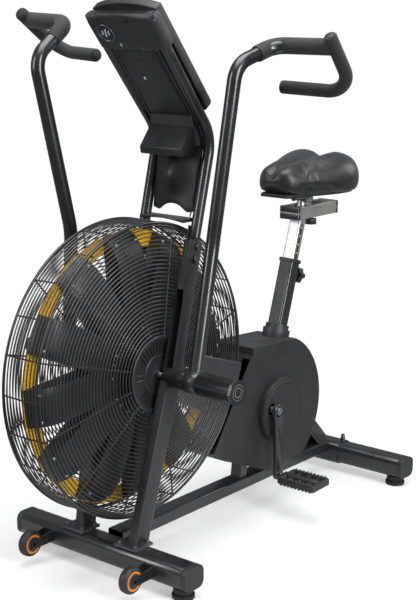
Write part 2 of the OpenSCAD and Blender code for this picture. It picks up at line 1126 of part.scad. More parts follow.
module seat_rail() {
    slot_w = 2 * stub_r + 2;
    color("#bfc1c4") rig()
        difference() {
            translate([0, seat_rail_y - seat_rail_len / 2, seat_rail_z + seat_rail_h / 2])
                rotate([-90, 0, 0])
                    linear_extrude(seat_rail_len)
                        rounded(seat_rail_w, seat_rail_h, 2);
            translate([-24, seat_rail_y - seat_rail_len / 2 + 5, seat_rail_z + 5])
                cube([48, seat_rail_len - 10, seat_rail_h - 10]);
            translate([-slot_w / 2, seat_rail_y - 76, seat_rail_z + 4])
                cube([slot_w, 140, 60]);
            translate([-4.5, seat_rail_y - 31, seat_rail_z - 1])
                cube([9, 106, 20]);
        }
}

module seat_carriage() {
    color("#b4b6b9") rig() {
        difference() {
            translate([-23.5, stub_y - 26, seat_rail_z + 5.5])
                cube([47, 90, seat_rail_h - 11]);
            translate([0, knob_y, seat_rail_z])
                cylinder(h = 40, r = 4);
        }
        translate([0, stub_y, seat_rail_z + seat_rail_h - 7])
            cylinder(h = 20, r = stub_r - 0.3);
        translate([-20, stub_y, saddle_pivot_z])
            rotate([0, 90, 0])
                cylinder(h = 40, r = 9);
    }
}

module saddle() {
    rear_y = saddle_front_y + saddle_len - 70;
    color("#1a1a1c") rig() {
        // Plain closed form of the cushion: a wide round rear and a narrower nose
        translate([0, 0, saddle_bottom])
            linear_extrude(saddle_top - saddle_bottom)
                union() {
                    for (side = [-1, 1])
                        translate([side * (saddle_w / 2 - 70), rear_y])
                            circle(70);
                    translate([-saddle_w / 2 + 70, rear_y - 70])
                        square([saddle_w - 140, 132]);
                    translate([0, rear_y - 66])
                        circle(84);
                    translate([0, saddle_front_y + 58])
                        circle(58);
                }
        // Clamp cheeks under the cushion
        for (x = [-26, 20.3])
            translate([x, stub_y - 12, saddle_pivot_z - 10])
                cube([5.7, 24, saddle_bottom - saddle_pivot_z + 12]);
    }
}

// A knob's outline: a disc of radius r with count lobes round it
module lobes(count, at, lobe_r, r) {
    circle(r);
    for (i = [0:count - 1])
        rotate(360 * i / count)
            translate([at, 0])
                circle(lobe_r);
}

module height_knob() {
    color("#1b1b1d") rig()
        seat_frame()
            translate([0, tube_d / 2 + 4, tube_up - 28])
                rotate([-90, 0, 0]) {
                    translate([0, 0, 14])
                        linear_extrude(18)
                            lobes(5, knob_r - 7, 7, knob_r - 5);
                    cylinder(h = 16, r = 9);
                    // The pin stops just short of the post
                    translate([0, 0, post_d / 2 + 0.2 - tube_d / 2 - 4])
                        cylinder(h = 12, r = 3.9);
                    translate([0, 0, 31])
                        cylinder(h = 6, r = 5);
                }
}

module slide_knob() {
    color("#1b1b1d") rig()
        translate([0, knob_y, seat_rail_z]) {
            translate([0, 0, -24])
                linear_extrude(15)
                    lobes(6, 11, 5, 14);
            translate([0, 0, -10])
                cylinder(h = 30, r = 3.9);
        }
}

/* Console */

module at_console() {
    translate(console_foot)
        rotate([console_lean, 0, 0])
            children();
}

module console_back() {
    color("#2e2f32") rig() {
        difference() {
            at_console()
                rotate([90, 0, 0])
                    mirror([0, 0, 1])
                        linear_extrude(console_t)
                            polygon([
                                [-console_low_half, -console_drop],
                                [console_low_half, -console_drop],
                                [console_top_half, console_len - 6],
                                [-console_top_half, console_len - 6]
                            ]);
            both_sides()
                run(bent([mast_foot, mast_bend, mast_top + unit(mast_top - mast_bend) * 4], mast_bend_r),
                    mast_r + 0.4);
            at_console() {
                translate([-console_low_half + 4, -1, 30])
                    cube([2 * console_low_half - 22, 2.5, 165]);
                translate([-console_low_half + 18, 5, -console_drop + 5])
                    cube([2 * console_low_half - 36, console_t, console_len + console_drop - 20]);
            }
        }
        // Ledge that stands out under the console
        side_plate(-66, 126)
            polygon([[148, 1014], [112, 967], [115, 950], [152, 950], [171, 985], [161, 1017]]);
    }
}

module console_front() {
    color("#232427") rig()
        at_console()
            difference() {
                translate([-console_front_half, console_t + 1, -4])
                    cube([2 * console_front_half, console_front_t, console_len]);
                translate([-console_front_half + 4, console_t, 82])
                    cube([2 * console_front_half - 8, console_front_t - 6, console_len - 94]);
                translate([-70, console_t + console_front_t - 2, 120])
                    cube([140, 10, 150]);
                for (i = [-1:1])
                    translate([i * button_gap, console_t + console_front_t - 11, 60])
                        rotate([-90, 0, 0])
                            cylinder(h = 40, r = button_r + 0.4);
            }
}

module console_lens() {
    color("#30343a") rig()
        at_console()
            translate([-69.5, console_t + console_front_t - 2, 120.5])
                cube([139, 2.6, 149]);
}

module button(i) {
    color("#8a8b8e") rig()
        at_console()
            translate([i * button_gap, console_t + console_front_t - 11 + button_press_gap, 60])
                rotate([-90, 0, 0])
                    cylinder(h = 13, r = button_r);
}

module left_button() {
    button(1);
}

module middle_button() {
    button(0);
}

module right_button() {
    button(-1);
}

module console_shield() {
    color("#26272a") rig() {
        difference() {
            side_plate(-66, 132)
                polygon([[153, 818], [172, 948], [180, 984], [192, 984], [186, 948], [167, 814]]);
            translate([0, 100, 782])
                rotate([-90, 0, 0])
                    cylinder(h = 120, r = 52);
            both_sides()
                run(bent([mast_foot, mast_bend, mast_top], mast_bend_r), mast_r + 0.4);
        }
        translate([0, 176, 906])
            sphere(38);
    }
}

module sensor_cable() {
    color("#101010") rig()
        run([[62, 161.3, 890], [62, 157, 860], [61, 152, 826], [58, 147, 808.8]], 1.6);
}

/* Transport wheels and feet */

module wheel_brackets() {
    bar_face = front_bar_y - bar_depth / 2;
    color("#1f2023") rig()
        both_sides()
            for (x = [wheel_x - wheel_w / 2 - 4, wheel_x + wheel_w / 2 + 1])
                difference() {
                    side_plate(x, 3)
                        polygon([
                            [wheel_y - 8, wheel_z + 9],
                            [wheel_y - 8, wheel_z - 9],
                            [wheel_y + 6, wheel_z - 11],
                            [bar_face, bar_bottom + 14],
                            [bar_face, bar_top - 14]
                        ]);
                    translate([x - 1, wheel_y, wheel_z])
                        rotate([0, 90, 0])
                            cylinder(h = 5, r = 4 + fit_gap);
                }
}

module transport_wheel() {
    translate([wheel_x - wheel_w / 2, wheel_y, wheel_z])
        rotate([0, 90, 0]) {
            cylinder(h = wheel_w, r = wheel_r);
            translate([0, 0, -6])
                cylinder(h = wheel_w + 12, r = 4);
        }
}

module left_wheel() {
    color("#2b2c2f") rig()
        transport_wheel();
}

module right_wheel() {
    color("#2b2c2f") rig()
        mirror([1, 0, 0])
            transport_wheel();
}

module foot(x, y) {
    color("#111214") rig()
        translate([x, y, 0]) {
            cylinder(h = 9, r = foot_r);
            cylinder(h = 15, r = foot_r - 6);
            translate([0, 0, 14])
                cylinder(h = bar_bottom - 14.3, r = foot_r - 3);
            cylinder(h = bar_bottom + 12, r = stud_r);
        }
}

module front_left_foot() {
    foot(front_foot_x, front_bar_y);
}

module front_right_foot() {
    foot(-front_foot_x, front_bar_y);
}

module rear_left_foot() {
    foot(rear_foot_x, rear_bar_y);
}

module rear_right_foot() {
    foot(-rear_foot_x, rear_bar_y);
}

main_rail();
front_stabilizer();
rear_stabilizer();
rear_socket();
stabilizer_end_caps();
left_leg();
right_leg();
frame_bolts();
seat_struts();
seat_tube();
post_bushing();
crank_shell();
mast_tubes();
left_shroud();
right_shroud();
disc_covers();
post_collars();
link_covers();
cage_left_face();
cage_right_face();
cage_rim();
hub_covers();
fan_axle();
footrests();
wheel_brackets();
console_back();
console_front();
console_lens();
console_shield();
sensor_cable();
drive_belt();
fan_hub();
fan_vanes();
fan_ring();
crank_axle();
crank_pulley();
crank_arms();
left_pedal();
right_pedal();
left_handle();
left_grips();
right_handle();
right_grips();
left_link_rod();
right_link_rod();
seat_post();
seat_rail();
seat_carriage();
saddle();
height_knob();
slide_knob();
left_wheel();
right_wheel();
front_left_foot();
front_right_foot();
rear_left_foot();
rear_right_foot();
left_button();
middle_button();
right_button();
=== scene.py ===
import math
import random

import bpy
import bmesh
from mathutils import Matrix, Vector


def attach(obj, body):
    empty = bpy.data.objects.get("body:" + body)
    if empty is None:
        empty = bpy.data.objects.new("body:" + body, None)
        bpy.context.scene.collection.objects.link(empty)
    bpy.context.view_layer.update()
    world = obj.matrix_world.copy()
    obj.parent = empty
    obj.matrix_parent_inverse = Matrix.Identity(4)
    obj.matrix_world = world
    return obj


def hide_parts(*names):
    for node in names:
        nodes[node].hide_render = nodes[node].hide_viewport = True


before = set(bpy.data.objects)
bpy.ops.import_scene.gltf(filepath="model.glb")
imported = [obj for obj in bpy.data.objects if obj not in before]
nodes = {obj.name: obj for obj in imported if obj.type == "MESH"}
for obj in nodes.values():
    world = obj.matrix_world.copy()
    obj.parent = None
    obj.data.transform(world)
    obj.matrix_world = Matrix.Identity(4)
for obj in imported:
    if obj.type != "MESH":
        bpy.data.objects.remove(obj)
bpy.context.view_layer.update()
random.seed(7)

# Millimetres, with y from the fan's axis, as in the CAD source
FAN_Y = -256.5
FAN_Z = 468.0


def place(v):
    return Vector((v[0], v[1] + FAN_Y, v[2])) / 1000


def turn_x(degrees):
    return Matrix.Rotation(math.radians(degrees), 4, "X")


def shift(x, y, z):
    return Matrix.Translation((x, y, z))


MIRROR = Matrix.Scale(-1, 4, (1, 0, 0))


# ---------------------------------------------------------------- camera
def make_camera():
    az, el, roll = math.radians(38.553), math.radians(12.080), math.radians(0.346)
    back = Vector((math.sin(az) * math.cos(el), -math.cos(az) * math.cos(el), math.sin(el)))
    right = Vector((math.cos(az), math.sin(az), 0))
    up = Vector((-math.sin(az) * math.sin(el), math.cos(az) * math.sin(el), math.cos(el)))
    r = right * math.cos(roll) + up * math.sin(roll)
    u = -right * math.sin(roll) + up * math.cos(roll)
    data = bpy.data.cameras.new("camera")
    data.lens = 77.4
    data.sensor_fit = "AUTO"
    data.sensor_width = 36
    data.shift_x = -0.02637
    data.shift_y = -0.021
    data.clip_end = 100
    cam = bpy.data.objects.new("camera", data)
    m = Matrix((r, u, back)).transposed().to_4x4()
    m.translation = Vector((1.9648, -2.3719, 1.2748))
    cam.matrix_world = m
    bpy.context.scene.collection.objects.link(cam)
    bpy.context.scene.camera = cam


make_camera()


# ---------------------------------------------------------------- materials
MATS = {}


def shade(
    name,
    color,
    rough=0.45,
    metal=0.0,
    spread=0.12,
    grain=900.0,
    bump=0.05,
    rough_spread=0.08,
    stretch=(1, 1, 1),
    coat=0.0,
    spec=0.5,
    cloud=14.0,
    edge_highlight=None,
    sheen=0.0,
    alpha=None,
    transmission=0.0,
    cells=0.0,
):
    """A surface with cloudy colour and gloss, fine grain, and edges painted lighter as a highlight where a
    highlight colour is given.
    """
    m = bpy.data.materials.new(name)
    m.use_nodes = True
    t = m.node_tree
    for n in list(t.nodes):
        t.nodes.remove(n)
    out = t.nodes.new("ShaderNodeOutputMaterial")
    b = t.nodes.new("ShaderNodeBsdfPrincipled")
    t.links.new(b.outputs[0], out.inputs[0])
    b.inputs["Metallic"].default_value = metal
    b.inputs["Specular IOR Level"].default_value = spec
    b.inputs["Coat Weight"].default_value = coat
    b.inputs["Coat Roughness"].default_value = 0.12
    b.inputs["Sheen Weight"].default_value = sheen
    b.inputs["Transmission Weight"].default_value = transmission
    coord = t.nodes.new("ShaderNodeTexCoord")
    mapping = t.nodes.new("ShaderNodeMapping")
    mapping.inputs["Scale"].default_value = stretch
    t.links.new(coord.outputs["Object"], mapping.inputs[0])

    def noise(scale, detail, source=mapping):
        n = t.nodes.new("ShaderNodeTexNoise")
        n.inputs["Scale"].default_value = scale
        n.inputs["Detail"].default_value = detail
        t.links.new(source.outputs[0 if source is mapping else "Object"], n.inputs["Vector"])
        return n

    clouds = noise(cloud, 3, coord)
    fine = noise(grain, 3)
    ramp = t.nodes.new("ShaderNodeValToRGB")
    ramp.color_ramp.elements[0].position = 0.3
    ramp.color_ramp.elements[1].position = 0.7
    ramp.color_ramp.elements[0].color = [c * (1 - spread) for c in color] + [1]
    ramp.color_ramp.elements[1].color = [min(1, c * (1 + spread)) for c in color] + [1]
    mix = t.nodes.new("ShaderNodeMix")
    mix.inputs["Factor"].default_value = 0.35
    t.links.new(clouds.outputs["Fac"], mix.inputs[2])
    t.links.new(fine.outputs["Fac"], mix.inputs[3])
    t.links.new(mix.outputs[0], ramp.inputs[0])
    base = ramp.outputs[0]
    # Convex edges, found by pointiness and broken up by the clouds, get a lighter colour: a painted highlight.
    if edge_highlight is not None:
        geo = t.nodes.new("ShaderNodeNewGeometry")
        edge = t.nodes.new("ShaderNodeMapRange")
        edge.inputs["From Min"].default_value = 0.53
        edge.inputs["From Max"].default_value = 0.62
        t.links.new(geo.outputs["Pointiness"], edge.inputs["Value"])
        edge_highlight_mask = t.nodes.new("ShaderNodeMath")
        edge_highlight_mask.operation = "MULTIPLY"
        t.links.new(edge.outputs[0], edge_highlight_mask.inputs[0])
        t.links.new(clouds.outputs["Fac"], edge_highlight_mask.inputs[1])
        blend = t.nodes.new("ShaderNodeMix")
        blend.data_type = "RGBA"
        blend.inputs[7].default_value = (*edge_highlight, 1)
        t.links.new(edge_highlight_mask.outputs[0], blend.inputs["Factor"])
        t.links.new(base, blend.inputs[6])
        base = blend.outputs[2]
    t.links.new(base, b.inputs["Base Color"])
    gloss = t.nodes.new("ShaderNodeMapRange")
    gloss.inputs["From Min"].default_value = 0.3
    gloss.inputs["From Max"].default_value = 0.7
    gloss.inputs["To Min"].default_value = max(0.03, rough - rough_spread)
    gloss.inputs["To Max"].default_value = min(1, rough + rough_spread)
    t.links.new(mix.outputs[0], gloss.inputs["Value"])
    t.links.new(gloss.outputs[0], b.inputs["Roughness"])
    node = t.nodes.new("ShaderNodeBump")
    node.inputs["Strength"].default_value = min(1.0, bump * 4)
    node.inputs["Distance"].default_value = 0.0004
    height = fine.outputs["Fac"]
    if cells:
        vor = t.nodes.new("ShaderNodeTexVoronoi")
        vor.inputs["Scale"].default_value = cells
        t.links.new(mapping.outputs[0], vor.inputs["Vector"])
        height = vor.outputs["Distance"]
    t.links.new(height, node.inputs["Height"])
    t.links.new(node.outputs[0], b.inputs["Normal"])
    if alpha is not None:
        b.inputs["Alpha"].default_value = alpha
    MATS[name] = m
    return m


# Where a material is given a lighter edge colour below, that colour is a painted highlight along its edges.
shade("frame_black", (0.0095, 0.0098, 0.011), 0.30, grain=700, bump=0.05, coat=0.35, spec=0.55,
        edge_highlight=(0.07, 0.07, 0.075))
# The legs share the frame's black coat; this lighter copy paints in the light falling on their outer faces.
shade("frame_grey", (0.021, 0.021, 0.0225), 0.46, grain=800, bump=0.05, spec=0.5, edge_highlight=(0.11,
        0.11, 0.115))
shade("cap_plastic", (0.016, 0.016, 0.017), 0.52, grain=1300, bump=0.08, edge_highlight=(0.09, 0.09, 0.095))
shade("shroud_plastic", (0.018, 0.018, 0.019), 0.50, grain=1500, bump=0.09, edge_highlight=(0.10, 0.10, 0.11))
shade("cover_plastic", (0.016, 0.016, 0.017), 0.46, grain=1500, bump=0.08, edge_highlight=(0.12, 0.12, 0.13))
shade("cage_wire", (0.012, 0.012, 0.013), 0.34, grain=500, bump=0.04, coat=0.2, edge_highlight=(0.10, 0.10,
        0.105))
shade("hub_plastic", (0.017, 0.017, 0.018), 0.42, grain=1500, bump=0.07, edge_highlight=(0.10, 0.10, 0.11))
shade("zinc", (0.50, 0.53, 0.52), 0.32, metal=1.0, spread=0.2, cloud=160, grain=600, bump=0.06)
shade("axle_steel", (0.45, 0.45, 0.46), 0.28, metal=1.0, spread=0.12, stretch=(1, 1, 1),
        grain=900, bump=0.03)
shade("fan_grey", (0.015, 0.016, 0.019), 0.42, grain=900, bump=0.05, spec=0.5)
shade("ring_yellow", (1.0, 0.50, 0.004), 0.40, spread=0.14, cloud=9, grain=1200, bump=0.04,
        coat=0.2)
shade("pulley_black", (0.022, 0.022, 0.024), 0.40, grain=900, bump=0.05)
shade("belt_rubber", (0.012, 0.012, 0.013), 0.62, grain=1600, bump=0.1)
shade("crank_black", (0.010, 0.010, 0.011), 0.32, grain=900, bump=0.05, coat=0.3, edge_highlight=(0.10,
        0.10, 0.105))
shade("pedal_plastic", (0.016, 0.016, 0.016), 0.55, grain=1300, bump=0.12, edge_highlight=(0.09, 0.09, 0.09))
shade("grip_foam", (0.010, 0.010, 0.011), 0.72, grain=2200, bump=0.22, cells=900, spread=0.2,
        sheen=0.15)
shade("post_alu", (0.62, 0.62, 0.635), 0.30, metal=0.92, stretch=(1, 1, 0.03), grain=2600,
        bump=0.05, spread=0.10)
shade("rail_alu", (0.60, 0.585, 0.57), 0.33, metal=0.92, stretch=(1, 0.03, 1), grain=2600,
        bump=0.05, spread=0.10)
shade("saddle_vinyl", (0.011, 0.011, 0.013), 0.36, grain=1400, bump=0.10, cells=1100, spread=0.18,
        coat=0.05, sheen=0.1)
shade("knob_plastic", (0.010, 0.010, 0.011), 0.36, grain=1200, bump=0.07, edge_highlight=(0.08, 0.08, 0.085))
shade("console_plastic", (0.020, 0.020, 0.021), 0.47, grain=1700, bump=0.09, edge_highlight=(0.12, 0.12,
        0.125))
shade("console_front_plastic", (0.012, 0.011, 0.011), 0.50, grain=1700, bump=0.09, edge_highlight=(0.06,
        0.06, 0.06))
shade("shield_plastic", (0.012, 0.012, 0.013), 0.42, grain=1500, bump=0.07, edge_highlight=(0.07, 0.07,
        0.075))
shade("lens_clear", (0.012, 0.014, 0.018), 0.10, grain=300, bump=0.01, coat=1.0, rough_spread=0.03)
shade("cable_black", (0.012, 0.012, 0.012), 0.45, grain=900, bump=0.04)
shade("button_grey", (0.17, 0.17, 0.175), 0.48, grain=1300, bump=0.06)
shade("wheel_plastic", (0.016, 0.016, 0.017), 0.50, grain=1300, bump=0.08, edge_highlight=(0.08, 0.08, 0.085))
shade("foot_rubber", (0.012, 0.012, 0.013), 0.60, grain=1500, bump=0.12)
shade("bushing_nylon", (0.030, 0.030, 0.032), 0.50, grain=900, bump=0.05)
shade("wheel_orange", (0.85, 0.22, 0.010), 0.40, spread=0.3, cloud=60, grain=900, bump=0.05)
shade("strip_black", (0.010, 0.010, 0.011), 0.40, grain=900, bump=0.02)
shade("strip_yellow", (0.75, 0.48, 0.01), 0.42, grain=900, bump=0.02)
# Near-black for slots, holes and grooves: painted shade standing in for their depth.
shade("painted_shade_black", (0.004, 0.004, 0.004), 0.80, grain=900, bump=0.03)
shade("bolt_steel", (0.20, 0.20, 0.21), 0.34, metal=1.0, spread=0.25, cloud=120, grain=900,
        bump=0.05)
shade("led_green", (0.10, 0.75, 0.05), 0.30, grain=900, bump=0.02, coat=0.5)
shade("badge_silver", (0.42, 0.42, 0.44), 0.34, metal=0.8, grain=900, bump=0.03)
shade("mark_white", (0.62, 0.62, 0.62), 0.45, grain=900, bump=0.02)


# ---------------------------------------------------------------- mesh code
class Build:
    """Collects parts of one piece, in millimetres, under a transform, each with its material."""

    def __init__(self):
        self.verts = []
        self.faces = []
        self.which = []
        self.names = []
        self.tf = Matrix.Identity(4)
        self.current = 0

    def use(self, material):
        if material not in self.names:
            self.names.append(material)
        self.current = self.names.index(material)
        return self

    def at(self, tf):
        self.tf = tf
        return self

    def add(self, verts, faces):
        base = len(self.verts)
        self.verts += [place(self.tf @ Vector(v)) for v in verts]
        self.faces += [[i + base for i in f] for f in faces]
        self.which += [self.current] * len(faces)

    def tube(self, points, radius, sides=12, closed=False, squash=None, start_up=None):
        """A round wire or tube along the points; radius may be one number for each point."""
        pts = [Vector(p) for p in points]
        n = len(pts)
        radii = radius if isinstance(radius, (list, tuple)) else [radius] * n
        tangents = []
        for i in range(n):
            a = pts[(i - 1) % n] if closed or i > 0 else pts[i]
            b = pts[(i + 1) % n] if closed or i < n - 1 else pts[i]
            tangents.append((b - a).normalized())
        t = tangents[0]
        side = start_up or (Vector((0, 0, 1)) if abs(t.z) < 0.9 else Vector((1, 0, 0)))
        side = (side - t * side.dot(t)).normalized()
        verts, faces = [], []
        for i in range(n):
            t = tangents[i]
            side = (side - t * side.dot(t)).normalized()
            other = t.cross(side)
            for k in range(sides):
                a = 2 * math.pi * k / sides
                c, s = math.cos(a), math.sin(a)
                if squash:
                    s *= squash
                verts.append(pts[i] + (side * c + other * s) * radii[i])
        for i in range(n if closed else n - 1):
            j = (i + 1) % n
            for k in range(sides):
                m = (k + 1) % sides
                faces.append([i * sides + k, i * sides + m, j * sides + m, j * sides + k])
        if not closed:
            faces.append([k for k in range(sides)][::-1])
            faces.append([(n - 1) * sides + k for k in range(sides)])
        self.add(verts, faces)

    def lathe(self, profile, origin=(0, 0, 0), axis="X", sides=48, closed=False):
        """Turns a profile of (along, radius) about an axis. closed joins the profile's last point to its first."""
        verts, faces = [], []
        o = Vector(origin)
        for h, r in profile:
            for k in range(sides):
                a = 2 * math.pi * k / sides
                c, s = math.cos(a) * r, math.sin(a) * r
                v = {"X": (h, c, s), "Y": (s, h, c), "Z": (c, s, h)}[axis]
                verts.append(o + Vector(v))
        n = len(profile)
        for i in range(n if closed else n - 1):
            j = (i + 1) % n
            for k in range(sides):
                m = (k + 1) % sides
                faces.append([i * sides + k, i * sides + m, j * sides + m, j * sides + k])
        if not closed:
            if profile[0][1] > 0.01:
                faces.append([k for k in range(sides)][::-1])
            if profile[-1][1] > 0.01:
                faces.append([(n - 1) * sides + k for k in range(sides)])
        self.add(verts, faces)

    def prism(self, outline, origin, u, v, depth, edge=0.0, back_edge=0.0):
        """An outline of (a, b) along u and v, pushed along u x v by depth, with its rims drawn in by edge."""
        o, u, v = Vector(origin), Vector(u).normalized(), Vector(v).normalized()
        w = u.cross(v)
        layers = []
        if back_edge > 0:
            layers += [(0, back_edge), (back_edge * 0.3, back_edge * 0.3), (back_edge, 0)]
        else:
            layers += [(0, 0)]
        if edge > 0:
            layers += [(depth - edge, 0), (depth - edge * 0.3, edge * 0.3), (depth, edge)]
        else:
            layers += [(depth, 0)]
        n = len(outline)
        verts, faces = [], []
        for d, inset in layers:
            for a, b in inset_outline(outline, inset):
                verts.append(o + u * a + v * b + w * d)
        for i in range(len(layers) - 1):
            for k in range(n):
                m = (k + 1) % n
                faces.append([i * n + k, i * n + m, (i + 1) * n + m, (i + 1) * n + k])
        faces.append(list(range(n))[::-1])
        faces.append([(len(layers) - 1) * n + k for k in range(n)])
        self.add(verts, faces)

    def loft(self, sections, cap=True):
        """Joins sections with the same number of points."""
        n = len(sections[0])
        verts = [p for s in sections for p in s]
        faces = []
        for i in range(len(sections) - 1):
            for k in range(n):
                m = (k + 1) % n
                faces.append([i * n + k, i * n + m, (i + 1) * n + m, (i + 1) * n + k])
        if cap:
            faces.append(list(range(n))[::-1])
            faces.append([(len(sections) - 1) * n + k for k in range(n)])
        self.add(verts, faces)

    def block(self, lo, hi, edge=1.0):
        """A box between two corners with eased edges."""
        x0, y0, z0 = lo
        x1, y1, z1 = hi
        e = min(edge, (x1 - x0) / 3, (y1 - y0) / 3, (z1 - z0) / 3)
        self.prism(round_rect(x1 - x0, y1 - y0, e * 1.6, 3), ((x0 + x1) / 2, (y0 + y1) / 2, z0),
                (1, 0, 0), (0, 1, 0),
                   z1 - z0, e, e)

    def piece(self, name, body, slot, replaces=(), bevel=0.0, sharp=38, subdivide=0):
        mesh = bpy.data.meshes.new(name)
        mesh.from_pydata([tuple(v) for v in self.verts], [], self.faces)
        for n in self.names:
            mesh.materials.append(MATS[n])
        mesh.polygons.foreach_set("material_index", self.which)
        mesh.update()
        bm = bmesh.new()
        bm.from_mesh(mesh)
        bmesh.ops.remove_doubles(bm, verts=bm.verts, dist=0.00001)
        bmesh.ops.dissolve_degenerate(bm, dist=0.000005, edges=bm.edges)
        bmesh.ops.recalc_face_normals(bm, faces=bm.faces)
        bm.to_mesh(mesh)
        bm.free()
        mesh.shade_smooth()
        mesh.set_sharp_from_angle(angle=math.radians(sharp))
        obj = bpy.data.objects.new(name, mesh)
        bpy.context.scene.collection.objects.link(obj)
        if subdivide:
            s = obj.modifiers.new("smooth", "SUBSURF")
            s.levels = subdivide
            s.render_levels = subdivide
        if bevel:
            b = obj.modifiers.new("edges", "BEVEL")
            b.width = bevel / 1000
            b.segments = 2
            b.limit_method = "ANGLE"
            b.angle_limit = math.radians(32)
        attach(obj, body)
        if replaces:
            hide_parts(*replaces)
        return obj


def inset_outline(points, d):
    """Moves a counter-clockwise outline's edges in by d."""
    if d == 0:
        return list(points)
    n = len(points)
    out = []
    for i in range(n):
        a, b, c = Vector(points[i - 1]), Vector(points[i]), Vector(points[(i + 1) % n])
        e0, e1 = (b - a).normalized(), (c - b).normalized()
        n0, n1 = Vector((-e0.y, e0.x)), Vector((-e1.y, e1.x))
        m = n0 + n1
        m = m / max(m.length_squared / 2, 0.2)
        out.append((b.x + m.x * d, b.y + m.y * d))
    return out


def arc(cx, cy, r, a0, a1, steps):
    return [
        (cx + r * math.cos(math.radians(a0 + (a1 - a0) * i / steps)),
         cy + r * math.sin(math.radians(a0 + (a1 - a0) * i / steps)))
        for i in range(steps + 1)
    ]


def round_rect(w, h, r, steps=4):
    r = min(r, w / 2 - 0.01, h / 2 - 0.01)
    a, b = w / 2 - r, h / 2 - r
    return (arc(a, b, r, 0, 90, steps) + arc(-a, b, r, 90, 180, steps) + arc(-a, -b, r, 180, 270,
            steps)
            + arc(a, -b, r, 270, 360, steps))


def round_corners(points, radii, steps=5):
    """Rounds a counter-clockwise or clockwise outline's corners."""
    n = len(points)
    out = []
    radii = radii if isinstance(radii, (list, tuple)) else [radii] * n
    for i in range(n):
        a, b, c = Vector(points[i - 1]), Vector(points[i]), Vector(points[(i + 1) % n])
        r = radii[i]
        if r <= 0:
            out.append((b.x, b.y))
            continue
        u, v = (a - b).normalized(), (c - b).normalized()
        angle = u.angle(v)
        if angle > math.radians(176):
            out.append((b.x, b.y))
            continue
        cut = min(r / math.tan(angle / 2), (a - b).length * 0.49, (c - b).length * 0.49)
        p, q = b + u * cut, b + v * cut
        for k in range(steps + 1):
            s = k / steps
            e = p * (1 - s) ** 2 + b * 2 * s * (1 - s) + q * s**2
            out.append((e.x, e.y))
    return out


def swept(points, bend, step=7.0, arc_steps=10):
    """A path through the points with round bends and short steps."""
    pts = [Vector(p) for p in points]
    bends = bend if isinstance(bend, (list, tuple)) else [bend] * len(pts)
    path = [pts[0]]
    for i in range(1, len(pts) - 1):
        a, b, c = pts[i - 1], pts[i], pts[i + 1]
        u, v = (a - b).normalized(), (c - b).normalized()
        angle = u.angle(v)
        cut = min(bends[i] / math.tan(angle / 2), (a - b).length * 0.49, (c - b).length * 0.49)
        r = cut * math.tan(angle / 2)
        m = (u + v).normalized()
        centre = b + m * (r / math.sin(angle / 2))
        p, q = b + u * cut, b + v * cut
        s, e = (p - centre).normalized(), (q - centre).normalized()
        total = s.angle(e)
        for k in range(arc_steps + 1):
            f = k / arc_steps
            d = (s * math.sin((1 - f) * total) + e * math.sin(f * total)) / math.sin(total)
            path.append(centre + d * r)
    path.append(pts[-1])
    return path


def bolt(b, at, axis, r=6.5, h=4.5, socket=True, material="bolt_steel"):
    """A button-head screw with a socket, its head standing h out along axis."""
    w = Vector(axis).normalized()
    u = w.orthogonal().normalized()
    v = w.cross(u)
    o = Vector(at)
    b.use(material)
    ringed = [(0, r), (h * 0.35, r), (h * 0.75, r * 0.86), (h, r * 0.55)]
    if socket:
        ringed += [(h, r * 0.42), (h * 0.4, r * 0.42), (h * 0.4, 0.02)]
    else:
        ringed += [(h * 1.03, 0.02)]
    sides = 18
    verts = [o + w * hh + (u * math.cos(2 * math.pi * k / sides) + v * math.sin(2 * math.pi * k / sides)) * rr
             for hh, rr in ringed for k in range(sides)]
    faces = [[i * sides + k, i * sides + (k + 1) % sides, (i + 1) * sides + (k + 1) % sides,
            (i + 1) * sides + k]
             for i in range(len(ringed) - 1) for k in range(sides)]
    faces.append(list(range(sides))[::-1])
    b.add(verts, faces)


# ---------------------------------------------------------------- nodes kept from the CAD
def finish_node(name, material, bevel=0.0, sharp=34):
    """Gives a CAD node its material, a weld of its split vertices, and eased edges."""
    o = nodes[name]
    o.data.materials.clear()
    o.data.materials.append(MATS[material])
    weld = o.modifiers.new("join", "WELD")
    weld.merge_threshold = 0.00002
    if bevel:
        m = o.modifiers.new("edges", "BEVEL")
        m.width = bevel / 1000
        m.segments = 2
        m.limit_method = "ANGLE"
        m.angle_limit = math.radians(34)
    return o


